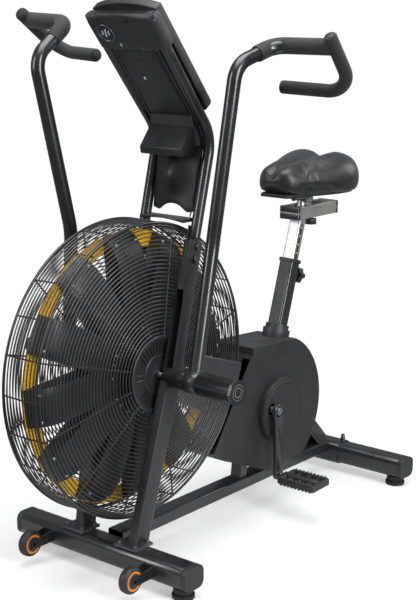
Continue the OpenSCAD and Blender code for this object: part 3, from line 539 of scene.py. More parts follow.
KEPT = {
    "main_rail": ("frame_black", 0.8),
    "front_stabilizer": ("frame_black", 0.8),
    "rear_stabilizer": ("frame_black", 0.8),
    "rear_socket": ("frame_black", 0.8),
    "stabilizer_end_caps": ("cap_plastic", 1.6),
    "left_leg": ("frame_grey", 0.8),
    "right_leg": ("frame_grey", 0.8),
    "frame_bolts": ("bolt_steel", 0.5),
    "seat_struts": ("frame_black", 0.8),
    "seat_tube": ("frame_black", 0.8),
    "post_bushing": ("bushing_nylon", 0.0),
    "crank_shell": ("frame_black", 0.0),
    "mast_tubes": ("frame_black", 0.0),
    "left_shroud": ("shroud_plastic", 2.2),
    "right_shroud": ("shroud_plastic", 2.2),
    "disc_covers": ("shroud_plastic", 1.6),
    "post_collars": ("cover_plastic", 1.4),
    "link_covers": ("cover_plastic", 2.0),
    "cage_left_face": ("cage_wire", 0.0),
    "cage_right_face": ("cage_wire", 0.0),
    "cage_rim": ("cage_wire", 0.0),
    "hub_covers": ("hub_plastic", 0.8),
    "fan_axle": ("axle_steel", 0.5),
    "footrests": ("frame_black", 0.8),
    "wheel_brackets": ("frame_black", 0.5),
    "console_back": ("console_plastic", 1.6),
    "console_front": ("console_front_plastic", 2.4),
    "console_lens": ("lens_clear", 0.3),
    "console_shield": ("shield_plastic", 1.4),
    "sensor_cable": ("cable_black", 0.0),
    "drive_belt": ("belt_rubber", 0.0),
    "fan_hub": ("fan_grey", 0.4),
    "fan_vanes": ("fan_grey", 0.0),
    "fan_ring": ("ring_yellow", 0.0),
    "crank_axle": ("axle_steel", 0.4),
    "crank_pulley": ("pulley_black", 0.5),
    "crank_arms": ("crank_black", 2.4),
    "left_pedal": ("pedal_plastic", 1.6),
    "right_pedal": ("pedal_plastic", 1.6),
    "left_handle": ("frame_black", 0.0),
    "left_grips": ("grip_foam", 1.0),
    "right_handle": ("frame_black", 0.0),
    "right_grips": ("grip_foam", 1.0),
    "left_link_rod": ("bolt_steel", 0.4),
    "right_link_rod": ("bolt_steel", 0.4),
    "seat_post": ("post_alu", 0.6),
    "seat_rail": ("rail_alu", 0.8),
    "seat_carriage": ("zinc", 0.5),
    "saddle": ("saddle_vinyl", 0.0),
    "height_knob": ("knob_plastic", 1.0),
    "slide_knob": ("knob_plastic", 1.0),
    "left_wheel": ("wheel_plastic", 0.8),
    "right_wheel": ("wheel_plastic", 0.8),
    "front_left_foot": ("foot_rubber", 1.0),
    "front_right_foot": ("foot_rubber", 1.0),
    "rear_left_foot": ("foot_rubber", 1.0),
    "rear_right_foot": ("foot_rubber", 1.0),
    "left_button": ("button_grey", 0.6),
    "middle_button": ("button_grey", 0.6),
    "right_button": ("button_grey", 0.6),
}
for node_name, (material_name, ease) in KEPT.items():
    finish_node(node_name, material_name, ease)


# ---------------------------------------------------------------- fan and cage
def bowl_x(r):
    """How far out the cage's face is at radius r."""
    if r > 280:
        return 64 - 7 * (r - 280) / 55.9
    return 88 - 24 * (r - 84) / 196


def circle_points(x, r, count=96):
    return [(x, r * math.cos(2 * math.pi * k / count),
            FAN_Z + r * math.sin(2 * math.pi * k / count))
            for k in range(count)]


def cage_face(side, name, body, node):
    b = Build().use("cage_wire")
    wires = 27
    for i in range(wires):
        r = 96 + (331 - 96) * i / (wires - 1)
        b.tube(circle_points(side * (bowl_x(r) + 1.4), r, 112), 1.55, 6, closed=True)
    for k in range(12):
        a = math.radians(30 * k + 15)
        line = []
        for r in [86, 92, 110, 150, 200, 250, 280, 305, 325, 336]:
            line.append((side * (bowl_x(r) - 1.4), r * math.cos(a), FAN_Z + r * math.sin(a)))
        b.tube(line, 2.0, 8)
    # Small welds where a round wire crosses a spoke
    for k in range(12):
        a = math.radians(30 * k + 15)
        for i in range(0, wires, 1):
            r = 96 + (331 - 96) * i / (wires - 1)
            c = Vector((side * bowl_x(r), r * math.cos(a), FAN_Z + r * math.sin(a)))
            along = Vector((0, math.cos(a), math.sin(a)))
            b.tube([c - along * 1.7, c + along * 1.7], 1.9, 5)
    b.piece(name, body, "cage_wire", (node,), sharp=60)


cage_face(1, "cage_wires_left", "frame", "cage_left_face")
cage_face(-1, "cage_wires_right", "frame", "cage_right_face")


def cage_rim():
    b = Build().use("cage_wire")
    for side in (-1, 1):
        b.tube(circle_points(side * 50, 341.6, 144), 3.2, 12, closed=True)
        b.tube(circle_points(side * 57.2, 336.6, 144), 1.7, 8, closed=True)
    for x in (-40, -30, -20, -10, 0, 10, 20, 30, 40):
        r = 342.4 - 1.6 * abs(x) / 42
        b.tube(circle_points(x, r, 128), 1.6, 6, closed=True)
    for k in range(24):
        a = math.radians(15 * k + 15)
        line = []
        for x in (-54, -42, -20, 0, 20, 42, 54):
            r = 337.4 - 1.8 * abs(x) / 42
            line.append((x, r * math.cos(a), FAN_Z + r * math.sin(a)))
        b.tube(line, 1.9, 8)
    b.piece("cage_rim_wires", "frame", "cage_wire", ("cage_rim",), sharp=60)


cage_rim()


def fan_wheel():
    """Curved vanes, each a sheet that sweeps from the ring up to the hub's front plate, between two side walls."""
    b = Build().use("fan_grey")
    profile = [(319, -9.5), (317, -3), (312, 6), (304, 15), (293, 23), (279, 29.5), (262, 34),
            (240, 37), (205, 39.2),
               (160, 40.2), (97, 40.8)]
    steps = 8

    def half_at(r):
        return min(math.radians(14.8), math.atan(43.5 / r))

    for k in range(12):
        mid = math.radians(30 * k + 5)
        top, bottom = [], []
        for r, x in profile:
            row_t, row_b = [], []
            for i in range(steps + 1):
                f = -1 + 2 * i / steps
                # The side edges curl back towards the ring
                curl = 3.5 * abs(f) ** 6
                a = mid + half_at(r) * f
                c, s = math.cos(a), math.sin(a)
                row_t.append((x - curl, r * c, FAN_Z + r * s))
                row_b.append((x - curl - 1.6, r * c, FAN_Z + r * s))
            top.append(row_t)
            bottom.append(row_b)
        n = steps + 1
        verts = [p for row in top for p in row] + [p for row in bottom for p in row]
        off = n * len(profile)
        faces = []
        for j in range(len(profile) - 1):
            for i in range(steps):
                a, c = j * n + i, (j + 1) * n + i
                faces.append([a, a + 1, c + 1, c])
                faces.append([off + a, off + c, off + c + 1, off + a + 1])
        for i in range(steps):
            faces.append([i, off + i, off + i + 1, i + 1])
            e = (len(profile) - 1) * n + i
            faces.append([e, e + 1, off + e + 1, off + e])
        for j in range(len(profile) - 1):
            a, c = j * n, (j + 1) * n
            faces.append([a, c, off + c, off + a])
            a, c = a + steps, c + steps
            faces.append([a, off + a, off + c, c])
        b.add(verts, faces)
        for f in (-1, 1):
            outer, inner = [], []
            for r, x in profile[:-1]:
                a = mid + half_at(r) * f
                a2 = a - f * 1.6 / r
                outer.append(((x - 3.6, r * math.cos(a), FAN_Z + r * math.sin(a)),
                              (-11.8, r * math.cos(a), FAN_Z + r * math.sin(a))))
                inner.append(((x - 3.6, r * math.cos(a2), FAN_Z + r * math.sin(a2)),
                              (-11.8, r * math.cos(a2), FAN_Z + r * math.sin(a2))))
            outer, inner = outer[1:], inner[1:]
            m = len(outer)
            verts = [p for pair in outer for p in pair] + [p for pair in inner for p in pair]
            faces = []
            for j in range(m - 1):
                p, q = 2 * j, 2 * j + 2
                faces.append([p, p + 1, q + 1, q])
                o = 2 * m
                faces.append([o + p, o + q, o + q + 1, o + p + 1])
                faces.append([p, q, o + q, o + p])
                faces.append([p + 1, o + p + 1, o + q + 1, q + 1])
            faces.append([0, 2 * m, 2 * m + 1, 1])
            e = 2 * m - 2
            faces.append([e, e + 1, 2 * m + e + 1, 2 * m + e])
            b.add(verts, faces)
        # Rivets that hold the vane to the ring, and two at the hub
        b.use("badge_silver")
        for f in (-0.72, 0.72):
            a = mid + half_at(300) * f
            r, x = 300, 19.5
            b.lathe([(x - 2, 4.2), (x + 0.8, 4.0), (x + 1.8, 2.8), (x + 2.1, 0.3)],
                    (0, r * math.cos(a), FAN_Z + r * math.sin(a)), "X", 14)
            r, x = 100, 40.6
            b.lathe([(x - 1, 3.2), (x + 0.8, 3.0), (x + 1.5, 2.0), (x + 1.7, 0.3)],
                    (0, r * math.cos(a * 1.0), FAN_Z + r * math.sin(a)), "X", 12)
        b.use("fan_grey")
    # Plate at the hub, with a pressed rib
    b.lathe([(40, 30), (41.6, 30), (41.6, 52), (43.4, 56), (43.4, 62), (41.6, 66), (41.6, 104),
            (40, 104)],
            (0, 0, FAN_Z), "X", 96, closed=True)
    b.piece("fan_vane_sheets", "fan", "fan_grey", ("fan_vanes",), sharp=50)


fan_wheel()


def hub_cover(side):
    """A shallow dish with a raised round rim, louvre slots above and below, and a three-sided opening."""
    b = Build()
    b.at(MIRROR if side < 0 else Matrix.Identity(4))
    b.use("hub_plastic")
    x0 = 89.0
    b.lathe([(x0 - 6, 89), (x0 - 1, 90.5), (x0 + 2.4, 90), (x0 + 3.8, 87.6), (x0 + 4, 84.6),
            (x0 + 3.2, 81.6),
             (x0 + 0.6, 80), (x0 - 0.6, 79)], (0, 0, FAN_Z), "X", 96)
    b.verts, b.faces, b.which = b.verts, b.faces[:-2], b.which[:-2]
    face_x = x0 - 0.6
    count = 25
    slots = []
    for start in (38, 218):
        for i in range(12):
            slots.append((start + 104 * i / 11, 2.4))
    # Flat ring with slots: slot walls are made of narrow sectors between two radii
    edges = []
    for centre, half in slots:
        edges.append((centre - half, centre + half))
    edges.sort()
    steps = []
    last = edges[-1][1] - 360
    for a0, a1 in edges:
        span = a0 - last
        cuts = max(1, int(span / 6))
        for j in range(cuts):
            steps.append((last + span * j / cuts, last + span * (j + 1) / cuts, True))
        steps.append((a0, a1, False))
        last = a1
    r_out, r_slot_out, r_slot_in, r_in = 79.0, 74.5, 50.0, 46.0

    def pt(x, r, a):
        a = math.radians(a)
        return (x, r * math.cos(a), FAN_Z + r * math.sin(a))

    thick = 2.4
    for a0, a1, solid in steps:
        for ra, rb, full in ((r_out, r_slot_out, True), (r_slot_out, r_slot_in, solid),
                (r_slot_in, r_in, True)):
            if full:
                b.add([pt(face_x, ra, a0), pt(face_x, ra, a1), pt(face_x, rb, a1), pt(face_x, rb,
                        a0)], [[0, 1, 2, 3]])
            else:
                q = [pt(face_x, ra, a0), pt(face_x, ra, a1), pt(face_x, rb, a1), pt(face_x, rb, a0),
                     pt(face_x - thick, ra, a0), pt(face_x - thick, ra, a1), pt(face_x - thick,
                             rb, a1),
                     pt(face_x - thick, rb, a0)]
                b.add(q, [[0, 1, 5, 4], [1, 2, 6, 5], [2, 3, 7, 6], [3, 0, 4, 7]])
                # The slot's floor is a sheet painted near-black as shade.
                b.use("painted_shade_black")
                b.add(q[4:], [[0, 1, 2, 3]])
                b.use("hub_plastic")
    # Centre plate, a little proud, with the three-sided opening
    b.lathe([(face_x, 46), (face_x + 1.4, 45), (face_x + 1.8, 43.5), (face_x + 1.8, 40)], (0, 0,
            FAN_Z), "X", 96)
    b.faces, b.which = b.faces[:-2], b.which[:-2]
    n = 96
    corners = [(-15.5, -1.0), (9.5, -14.5), (9.5, 13.0)]
    outline = []
    for k in range(n):
        a = 2 * math.pi * k / n
        d = Vector((math.cos(a), math.sin(a)))
        best = 40.0
        for i in range(3):
            p, q = Vector(corners[i]), Vector(corners[(i + 1) % 3])
            e = q - p
            den = d.x * (-e.y) + d.y * e.x
            if abs(den) > 1e-6:
                t = (p.x * (-e.y) + p.y * e.x) / den
                u = (d.x * p.y - d.y * p.x) / den
                if t > 0 and -0.001 <= u <= 1.001:
                    best = min(best, t)
        outline.append(d * best)
    verts, faces = [], []
    for k in range(n):
        a = 2 * math.pi * k / n
        verts.append((face_x + 1.8, 40 * math.cos(a), FAN_Z + 40 * math.sin(a)))
    for p in outline:
        verts.append((face_x + 1.8, p.x, FAN_Z + p.y))
    for p in outline:
        verts.append((face_x - 1.2, p.x, FAN_Z + p.y))
    for k in range(n):
        m = (k + 1) % n
        faces.append([k, m, n + m, n + k])
        faces.append([n + k, n + m, 2 * n + m, 2 * n + k])
    b.add(verts, faces)
    # Two short ribs at each side, between the slot groups
    for a in (172, 183, -8, 3):
        for r0, r1 in ((52, 72),):
            p, q = Vector(pt(face_x + 0.4, r0, a)), Vector(pt(face_x + 0.4, r1, a))
            b.tube([p, p.lerp(q, 0.1), p.lerp(q, 0.9), q], [0.6, 1.5, 1.5, 0.6], 8)
    b.use("bolt_steel")
    b.piece("hub_cover_left" if side > 0 else "hub_cover_right", "frame", "hub_plastic", sharp=40)


hub_cover(1)
hub_cover(-1)
# A near-black disc behind each cover, painted shade seen through the slots.
hub_back = Build().use("painted_shade_black")
for side in (1, -1):
    hub_back.at(MIRROR if side < 0 else Matrix.Identity(4))
    hub_back.lathe([(85.6, 30), (85.6, 82), (84.4, 82), (84.4, 30)], (0, 0, FAN_Z), "X", 64,
            closed=True)
hub_back.piece("hub_shade_discs", "frame", "hub_plastic", ("hub_covers",))


# ---------------------------------------------------------------- handles and grips
HANDLE = {
    "foot": (-2, 2, 20), "knee": (-22, 40, 300), "neck": (3, 26, 706), "turn": (12, 146, 765),
    "end": (157, 167, 767), "top": (160, 143, 789), "low": (165, 259, 677), "low_end": (-6, 212,
            679),
}


def at_handle(side):
    tf = shift(side * 197, 0, FAN_Z) @ turn_x(-side * 9)
    return tf @ MIRROR if side < 0 else tf


def capped_path(path, r, ease):
    """Adds points near both ends so that a tube's ends are rounded over."""
    first = (path[1] - path[0]).normalized()
    last = (path[-2] - path[-1]).normalized()
    head = [(path[0], r - ease), (path[0] + first * ease * 0.3, r - ease * 0.3),
            (path[0] + first * ease, r)]
    tail = [(path[-1] + last * ease, r), (path[-1] + last * ease * 0.3, r - ease * 0.3),
            (path[-1], r - ease)]
    middle = [(p,
            r) for p in path[1:-1] if (p - path[0]).length > ease and (p - path[-1]).length > ease]
    rows = head + middle + tail
    return [p for p, _ in rows], [q for _, q in rows]


def make_handle(side):
    word = "left" if side > 0 else "right"
    h = {k: Vector(v) for k, v in HANDLE.items()}
    body = f"{word}_handle"
    b = Build().at(at_handle(side)).use("frame_black")
    bar = swept([h["foot"], h["knee"], h["neck"], h["turn"], h["end"] - Vector((5, 0, 0))], [0,
            260, 56, 60, 0], arc_steps=16)
    b.tube(bar, 16, 32)
    b.tube(swept([h["top"], h["low"], h["low_end"]], 52, arc_steps=18), 12.6, 28)
    # Bearing sleeve
    x0, x1 = 178 - 197, 214 - 197
    b.lathe([(x0, 15.05), (x0, 24.6), (x0 + 1.2, 26), (x1 - 1.2, 26), (x1, 24.6), (x1, 15.05)],
            (0, 0, 0), "X", 56,
            closed=True)
    # Weld bead where the bar meets the sleeve
    bead = []
    up = (h["knee"] - h["foot"]).normalized()
    for k in range(28):
        a = 2 * math.pi * k / 28
        x = h["foot"].x + 15.4 * math.cos(a)
        y = 15.4 * math.sin(a) + 2
        z = math.sqrt(max(1.0, 26.0**2 - y * y))
        bead.append((x, y, z + 0.5 * math.sin(9 * a)))
    b.tube(bead, 2.0, 6, closed=True)
    b.piece(f"{word}_handle_bar", body, "frame_black", (f"{word}_handle",), sharp=50)

    g = Build().at(at_handle(side)).use("grip_foam")
    u = (h["turn"] - h["neck"]).normalized()
    start = h["neck"] + u * 72
    stop = h["end"] - (h["end"] - h["turn"]).normalized() * 1.0
    path, radii = capped_path(swept([start, h["turn"], stop], 60, arc_steps=20), 19, 1.6)
    g.tube(path, radii, 36)
    path, radii = capped_path(swept([h["top"], h["low"], h["low_end"]], 52, arc_steps=22), 15.5,
            5.0)
    g.tube(path, radii, 36)
    # Moulded end plugs
    g.use("cap_plastic")
    for p, q, r in ((h["top"], h["low"], 15.5), (h["low_end"], h["low"], 15.5)):
        d = (Vector(p) - Vector(q)).normalized()
        p = Vector(p)
        rows = [(p - d * 1, 9.6), (p + d * 0.7, 9.4), (p + d * 1.3, 8.2), (p + d * 1.5, 3.0),
                (p + d * 1.5, 0.4)]
        g.tube([x for x, _ in rows], [x for _, x in rows], 36)
    # Collars at the foam's inner ends
    g.tube([start - u * 1.5, start - u * 1.2, start + u * 1.6, start + u * 2.0], [16.4, 18.2,
            18.8, 18.8], 32)
    piece = g.piece(f"{word}_grip_foam", body, "grip_foam", (f"{word}_grips",), sharp=50)
    return piece


make_handle(1)
make_handle(-1)


# ---------------------------------------------------------------- masts
def masts():
    """Bent mast tubes, the low arch between their feet, and the lugs that lap the legs."""
    b = Build().use("frame_black")
    foot, bend, top = Vector((80, 139, 764)), Vector((81, 196, 992)), Vector((87.6, -22, 1268))
    for side in (1, -1):
        b.at(MIRROR if side < 0 else Matrix.Identity(4))
        b.tube(swept([foot, bend, top], 90, arc_steps=18), 13, 32)
        b.at((MIRROR if side < 0 else Matrix.Identity(4)) @ shift(67.45, 133, 750) @ turn_x(-18))
        b.block((0, -16, -44), (3, 20, 40), 1.0)
    b.at(Matrix.Identity(4))
    half = 66.6
    arch = [(-half, 806.8), (half, 806.8)]
    for k in range(25):
        x = half - 2 * half * k / 24
        arch.append((x, 406.2 + math.sqrt(398**2 - x * x)))
    b.prism(arch[::-1], (0, 152.8, 0), (1, 0, 0), (0, 0, 1), 41.6, 1.2, 1.2)
    b.piece("mast_tube_pair", "frame", "frame_black", ("mast_tubes",), sharp=50)


masts()


# ---------------------------------------------------------------- crank arms and pedals
def at_crank(flip=False):
    tf = shift(0, 445, 275) @ turn_x(2)
    if flip:
        tf = tf @ MIRROR @ turn_x(180)
    return tf


def crank_arm(b):
    """A forged arm that is wide at the axle, waisted, and wide again at the pedal, with a groove down its face
    painted as a near-black strip of shade.
    """
    b.use("crank_black")
    rows = [(0, 17.0), (-14, 16.0), (-32, 14.2), (-70, 13.0), (-110, 12.8), (-140, 13.2), (-160,
            14.2), (-172, 14.8)]
    sections = []
    for z, half in rows:
        t = 14 if z > -20 else 13
        x0, x1 = 94, 94 + t
        e = 3.2
        sections.append([(x0, -half + e, z), (x0 + e * 0.4, -half + e * 0.3, z), (x0 + e, -half,
                z), (x1 - e, -half, z),
                         (x1 - e * 0.4, -half + e * 0.3, z), (x1, -half + e, z), (x1, half - e, z),
                         (x1 - e * 0.4, half - e * 0.3, z), (x1 - e, half, z), (x0 + e, half, z),
                         (x0 + e * 0.4, half - e * 0.3, z), (x0, half - e, z)])
    b.loft(sections)
    b.lathe([(94, 12), (94, 16.4), (95.2, 17.8), (106.4, 17.8), (108, 16.2), (108, 12.2), (107.0,
            11.6), (107.0, 0.1)],
            (0, 0, 0), "X", 48)
    b.lathe([(94, 9), (94, 13.6), (95.2, 14.9), (106.0, 14.9), (107.2, 13.6), (107.2, 8)], (0, 0,
            -172), "X", 48,
            closed=True)
    # Groove: a thin strip painted near-black as shade.
    b.use("painted_shade_black")
    b.prism(round_rect(4.2, 34, 2.0), (107.02, 0, -66), (0, 1, 0), (0, 0, 1), 0.15)
    b.use("crank_black")
    bolt(b, (107, 0, 0), (1, 0, 0), 8.2, 3.0, True, "bolt_steel")


arms = Build()
for flip in (False, True):
    arms.at(at_crank(flip))
    crank_arm(arms)
arms.piece("crank_arm_pair", "cranks", "crank_black", ("crank_arms",), sharp=40)


def pedal(flip, word):
    """A platform pedal: a core on its spindle, two toothed side plates and end bars."""
    b = Build().at(at_crank(flip))
    z = -172
    b.use("bolt_steel")
    b.lathe([(95, 6.8), (110.5, 6.8), (110.5, 8.6), (113.5, 8.6), (113.5, 6.8), (124, 6.8)], (0,
            0, z), "X", 28)
    b.use("pedal_plastic")
    b.lathe([(122.5, 9), (123.5, 12), (128, 12.4), (150, 11.6), (200, 11.0), (226, 10.4), (229,
            9), (229, 1)],
            (0, 0, z), "X", 36)
    # End bars
    b.block((124, -37, z - 9), (136, 37, z + 9), 3)
    b.block((226, -37, z - 9), (238, 37, z + 9), 3)
    for s in (-1, 1):
        # Side plates with a row of teeth above and below
        y0, y1 = (28, 38) if s > 0 else (-38, -28)
        b.block((130, y0, z - 8), (232, y1, z + 8), 2.4)
        for i in range(9):
            x = 136 + 11.2 * i
            for up in (-1, 1):
                zz = z + 8 * up
                b.prism([(-3.6, 0), (3.6, 0), (2.2, 3.8), (-2.2, 3.8)], (x, y0 + 1.2,
                        zz - 0.3 * up),
                        (1, 0, 0), (0, 0, up), -(y1 - y0 - 2.4) * up, 0.0)
        # Three cross bars between the side plates
    for i, x in enumerate((152, 181, 210)):
        b.block((x - 3, -30, z - 6.5), (x + 3, 30, z + 6.5), 1.4)
    b.piece(f"{word}_pedal_platform", f"{word}_pedal", "pedal_plastic", (f"{word}_pedal",),
            bevel=0.5, sharp=38)


pedal(False, "left")
pedal(True, "right")


# ---------------------------------------------------------------- console
def at_console():
    return shift(0, 147, 1040) @ turn_x(38.4)


def mast_x(z):
    """Where the mast tube's middle is at height z of the console's own frame."""
    return 81 + 7 * (z + 68) / 371


def cut(obj, cutters):
    """Takes the cutters out of a piece for good."""
    for c in cutters:
        m = obj.modifiers.new("cut", "BOOLEAN")
        m.operation = "DIFFERENCE"
        m.solver = "EXACT"
        m.object = c
    bpy.context.view_layer.update()
    graph = bpy.context.evaluated_depsgraph_get()
    mesh = bpy.data.meshes.new_from_object(obj.evaluated_get(graph))
    obj.modifiers.clear()
    old = obj.data
    obj.data = mesh
    bpy.data.meshes.remove(old)
    for c in cutters:
        bpy.data.objects.remove(c)


def cutter(build, name):
    mesh = bpy.data.meshes.new(name)
    mesh.from_pydata([tuple(v) for v in build.verts], [], build.faces)
    bm = bmesh.new()
    bm.from_mesh(mesh)
    bmesh.ops.remove_doubles(bm, verts=bm.verts, dist=0.00001)
    bmesh.ops.recalc_face_normals(bm, faces=bm.faces)
    bm.to_mesh(mesh)
    bm.free()
    obj = bpy.data.objects.new(name, mesh)
    bpy.context.scene.collection.objects.link(obj)
    return obj


def console_back():
    b = Build().at(at_console()).use("console_plastic")
    # Upper housing: wraps the mast tubes, has a shallow ridge, and a domed top
    sections = []
    rows = [(196, 3.0), (197, 1.0), (200, 0.0), (225, 0.0), (250, 0.0), (275, 0.0), (286, 0.6),
            (291, 2.4), (294, 6.0)]
    for z, inset in rows:
        w = mast_x(z) + 14.5 - inset
        line = []
        for x, y in ([(-w, 26.4), (-w, 10)] + arc(-w + 13, 8.5 + inset * 0.5, 13, 180, 262, 6)
                     + [(-w + 30, -5.2), (-44, -6.2), (-17, -7.0), (-15, -6.4), (-13, -7.0), (30,
                             -6.4),
                        (w - 30, -5.4)]
                     + arc(w - 13, 8.5 + inset * 0.5, 13, 278, 360, 6) + [(w, 10), (w, 26.4)]):
            y = y + inset * 0.8 if y < 20 else y
            drop = 15 * (x / 100) ** 2 * max(0, (z - 225) / 70)
            line.append((x, y, z - drop))
        sections.append(line)
    b.loft(sections)
    # Lower panel between the masts, with a raised rim round a flat field
    def slab(x0, x1, z0, z1, y0, y1, edge, taper=1.0):
        out = round_rect(x1 - x0, z1 - z0, 3.0, 3)
        cx, cz = (x0 + x1) / 2, (z0 + z1) / 2
        b.prism(out, (cx, y1, cz), (1, 0, 0), (0, 0, 1), y1 - y0, edge)
    b.use("console_plastic")
    slab(-70, 70, -30, 198, 3.2, 25, 1.5)
    slab(-70, -63.5, -26, 196, 0.4, 6, 1.2)
    slab(63, 70, -26, 196, 0.4, 6, 1.2)
    slab(-70, 70, 188, 197, 0.2, 6, 1.4)
    slab(-70, 70, -30, -1, 0.0, 6, 1.4)
    slab(-61.5, 52, 2.5, 185.5, 2.0, 6, 1.1)
    # The long slot is a strip painted near-black as shade.
    b.use("painted_shade_black")
    slab(54.0, 61.5, 4, 184, 2.6, 5, 0.3)
    # Seams, holes, badge, lamp and screws
    def dot(x, z, r, y, h, material, sides=24, squeeze=1.0):
        b.use(material)
        out = [(r * math.cos(2 * math.pi * k / sides) * squeeze,
                r * math.sin(2 * math.pi * k / sides)) for k in
               range(sides)]
        b.prism(out, (x, y, z), (1, 0, 0), (0, 0, 1), h, min(h * 0.6, 0.5))
    # Holes below are discs painted near-black as shade.
    for x, z, r in ((29, 276, 4.0), (33, 203, 3.4), (-58, 281, 2.4)):
        dot(x, z, r, -6.2, 1.0, "painted_shade_black")
    dot(33, 203, 1.8, -6.3, 1.3, "bolt_steel", 8)
    for x, z, r in ((-53, 176, 3.2), (42, 174, 3.6), (-9, 158, 6.5)):
        dot(x, z, r, 2.2, 0.35, "painted_shade_black" if r < 5 else "console_front_plastic")
    dot(-19, 108, 4.2, 2.2, 0.8, "mark_white", 24, 0.8)
    dot(-25, 211, 4.6, -6.2, 1.6, "led_green", 24, 0.7)
    for x in (-53, 36):
        dot(x, -15, 5.2, 0.3, 1.2, "console_front_plastic")
        dot(x, -15, 3.0, -0.6, 0.8, "bolt_steel", 12)
    # A plain round emblem: a thin ring about three slanting bars
    b.use("strip_black")
    dot(-53, 243, 25, -5.6, 1.2, "strip_black", 56)
    b.use("badge_silver")
    ring_pts = [(-53 + 22.5 * math.cos(2 * math.pi * k / 56), -7.0,
            243 + 22.5 * math.sin(2 * math.pi * k / 56))
                for k in range(56)]
    b.tube(ring_pts, 0.55, 6, closed=True)
    b.use("mark_white")
    for i, (dx, half) in enumerate(((-9, 6), (0, 11), (9, 6))):
        b.prism([(-1.9 - half * 0.35, -half), (1.9 - half * 0.35, -half), (1.9 + half * 0.35, half),
                 (-1.9 + half * 0.35, half)], (-53 + dx, -6.4, 243), (1, 0, 0), (0, 0, 1), 0.9,
                         0.25)
    # Ledge that stands out under the console
    b.at(Matrix.Identity(4)).use("shield_plastic")
    ledge = round_corners([(148, 1014), (112, 967), (115, 950), (152, 950), (171, 985), (161,
            1017)],
                          [2, 4, 4, 2, 2, 2], 4)
    b.prism(ledge, (-66, 0, 0), (0, 1, 0), (0, 0, 1), 126, 2.5, 2.5)
    b.piece("console_rear_housing", "frame", "console_plastic", ("console_back",), sharp=36)


console_back()


def console_front():
    b = Build().at(at_console()).use("console_front_plastic")
    top = [(94 - 188 * i / 24, 299 - 15 * abs(1 - i / 12) ** 2.2) for i in range(25)]
    outline = round_corners([(-94, -4), (94, -4)], [0, 0]) + top
    outline = [(-80, -4), (80, -4)] + arc(80, 10, 14, -90, 0, 5)[1:] + top + arc(-80, 10, 14, 180,
            270, 5)[:-1]
    outline = [p for i,
            p in enumerate(outline) if i == 0 or (Vector(p) - Vector(outline[i - 1])).length > 0.4]
    # Pushed from the rider's face forward, with both rims rounded
    b.prism(outline, (0, 51, 0), (1, 0, 0), (0, 0, 1), 24.4, 1.5, 5.0)
    obj = b.piece("console_rider_housing", "frame", "console_front_plastic", ("console_front",),
            sharp=36)
    tools = []
    c = Build().at(at_console())
    c.prism(round_rect(142, 152, 4), (0, 55, 195), (1, 0, 0), (0, 0, 1), 6.2)
    tools.append(cutter(c, "cut_screen"))
    for x in (-32, 0, 32):
        c = Build().at(at_console())
        c.lathe([(38.5, 9.5), (60, 9.5)], (x, 0, 60), "Y", 32)
        tools.append(cutter(c, f"cut_button_{x}"))
    cut(obj, tools)
    obj.data.shade_smooth()
    obj.data.set_sharp_from_angle(angle=math.radians(36))


console_front()


def console_shield():
    """The apron between the masts, curved in plan, with an arch below and a dome in the middle."""
    b = Build().use("shield_plastic")
    side = [(153, 818), (158, 860), (164, 905), (172, 948), (180, 984)]
    cols = 25
    sheets = []
    for depth, offset in ((0, 0.0), (1, 9.0)):
        grid = []
        for i in range(cols):
            x = -66 + 132 * i / (cols - 1)
            arch = 782 + math.sqrt(max(0, 52**2 - x * x)) if abs(x) < 52 else 818
            z_low = max(816, arch)
            col = []
            for j in range(13):
                z = z_low + (984 - z_low) * j / 12
                k = 0
                while k < len(side) - 2 and side[k + 1][1] < z:
                    k += 1
                (y0, z0), (y1, z1) = side[k], side[k + 1]
                y = y0 + (y1 - y0) * (z - z0) / (z1 - z0)
                bow = 10 * (1 - (x / 66) ** 2)
                bulge = 22 * math.exp(-((x / 30) ** 2) - ((z - 905) / 32) ** 2)
                col.append((x, y - bow - bulge + offset + 4, z))
            grid.append(col)
        sheets.append(grid)
    verts, faces = [], []
    rows = 13
    for grid in sheets:
        for col in grid:
            verts += col
    n = cols * rows
    for i in range(cols - 1):
        for j in range(rows - 1):
            a, c = i * rows + j, (i + 1) * rows + j
            faces.append([a, c, c + 1, a + 1])
            faces.append([n + a, n + a + 1, n + c + 1, n + c])
        faces.append([i * rows, n + i * rows, n + (i + 1) * rows, (i + 1) * rows])
        a, c = i * rows + rows - 1, (i + 1) * rows + rows - 1
        faces.append([a, c, n + c, n + a])
    for j in range(rows - 1):
        faces.append([j, j + 1, n + j + 1, n + j])
        a = (cols - 1) * rows + j
        faces.append([a, n + a, n + a + 1, a + 1])
    b.add(verts, faces)
    b.piece("console_apron", "frame", "shield_plastic", ("console_shield",), sharp=40, subdivide=1)


console_shield()


# ---------------------------------------------------------------- saddle
SADDLE = [
    # y, half width, ridge z, valley depth, skirt's lower edge
    (535, 24, 868, 1, 834),
    (541, 42, 877, 4, 823),
    (552, 56, 883, 7, 816),
    (572, 66, 887, 10, 811),
    (602, 74, 890, 13, 807),
    (640, 88, 895, 15, 805.5),
    (680, 106, 901, 17, 805),
    (720, 119, 907, 18, 805),
    (756, 123, 911, 19, 805),
    (788, 117, 909, 17, 806),
    (808, 102, 902, 12, 810),
    (819, 78, 892, 6, 819),
    (823, 40, 880, 2, 832),
]


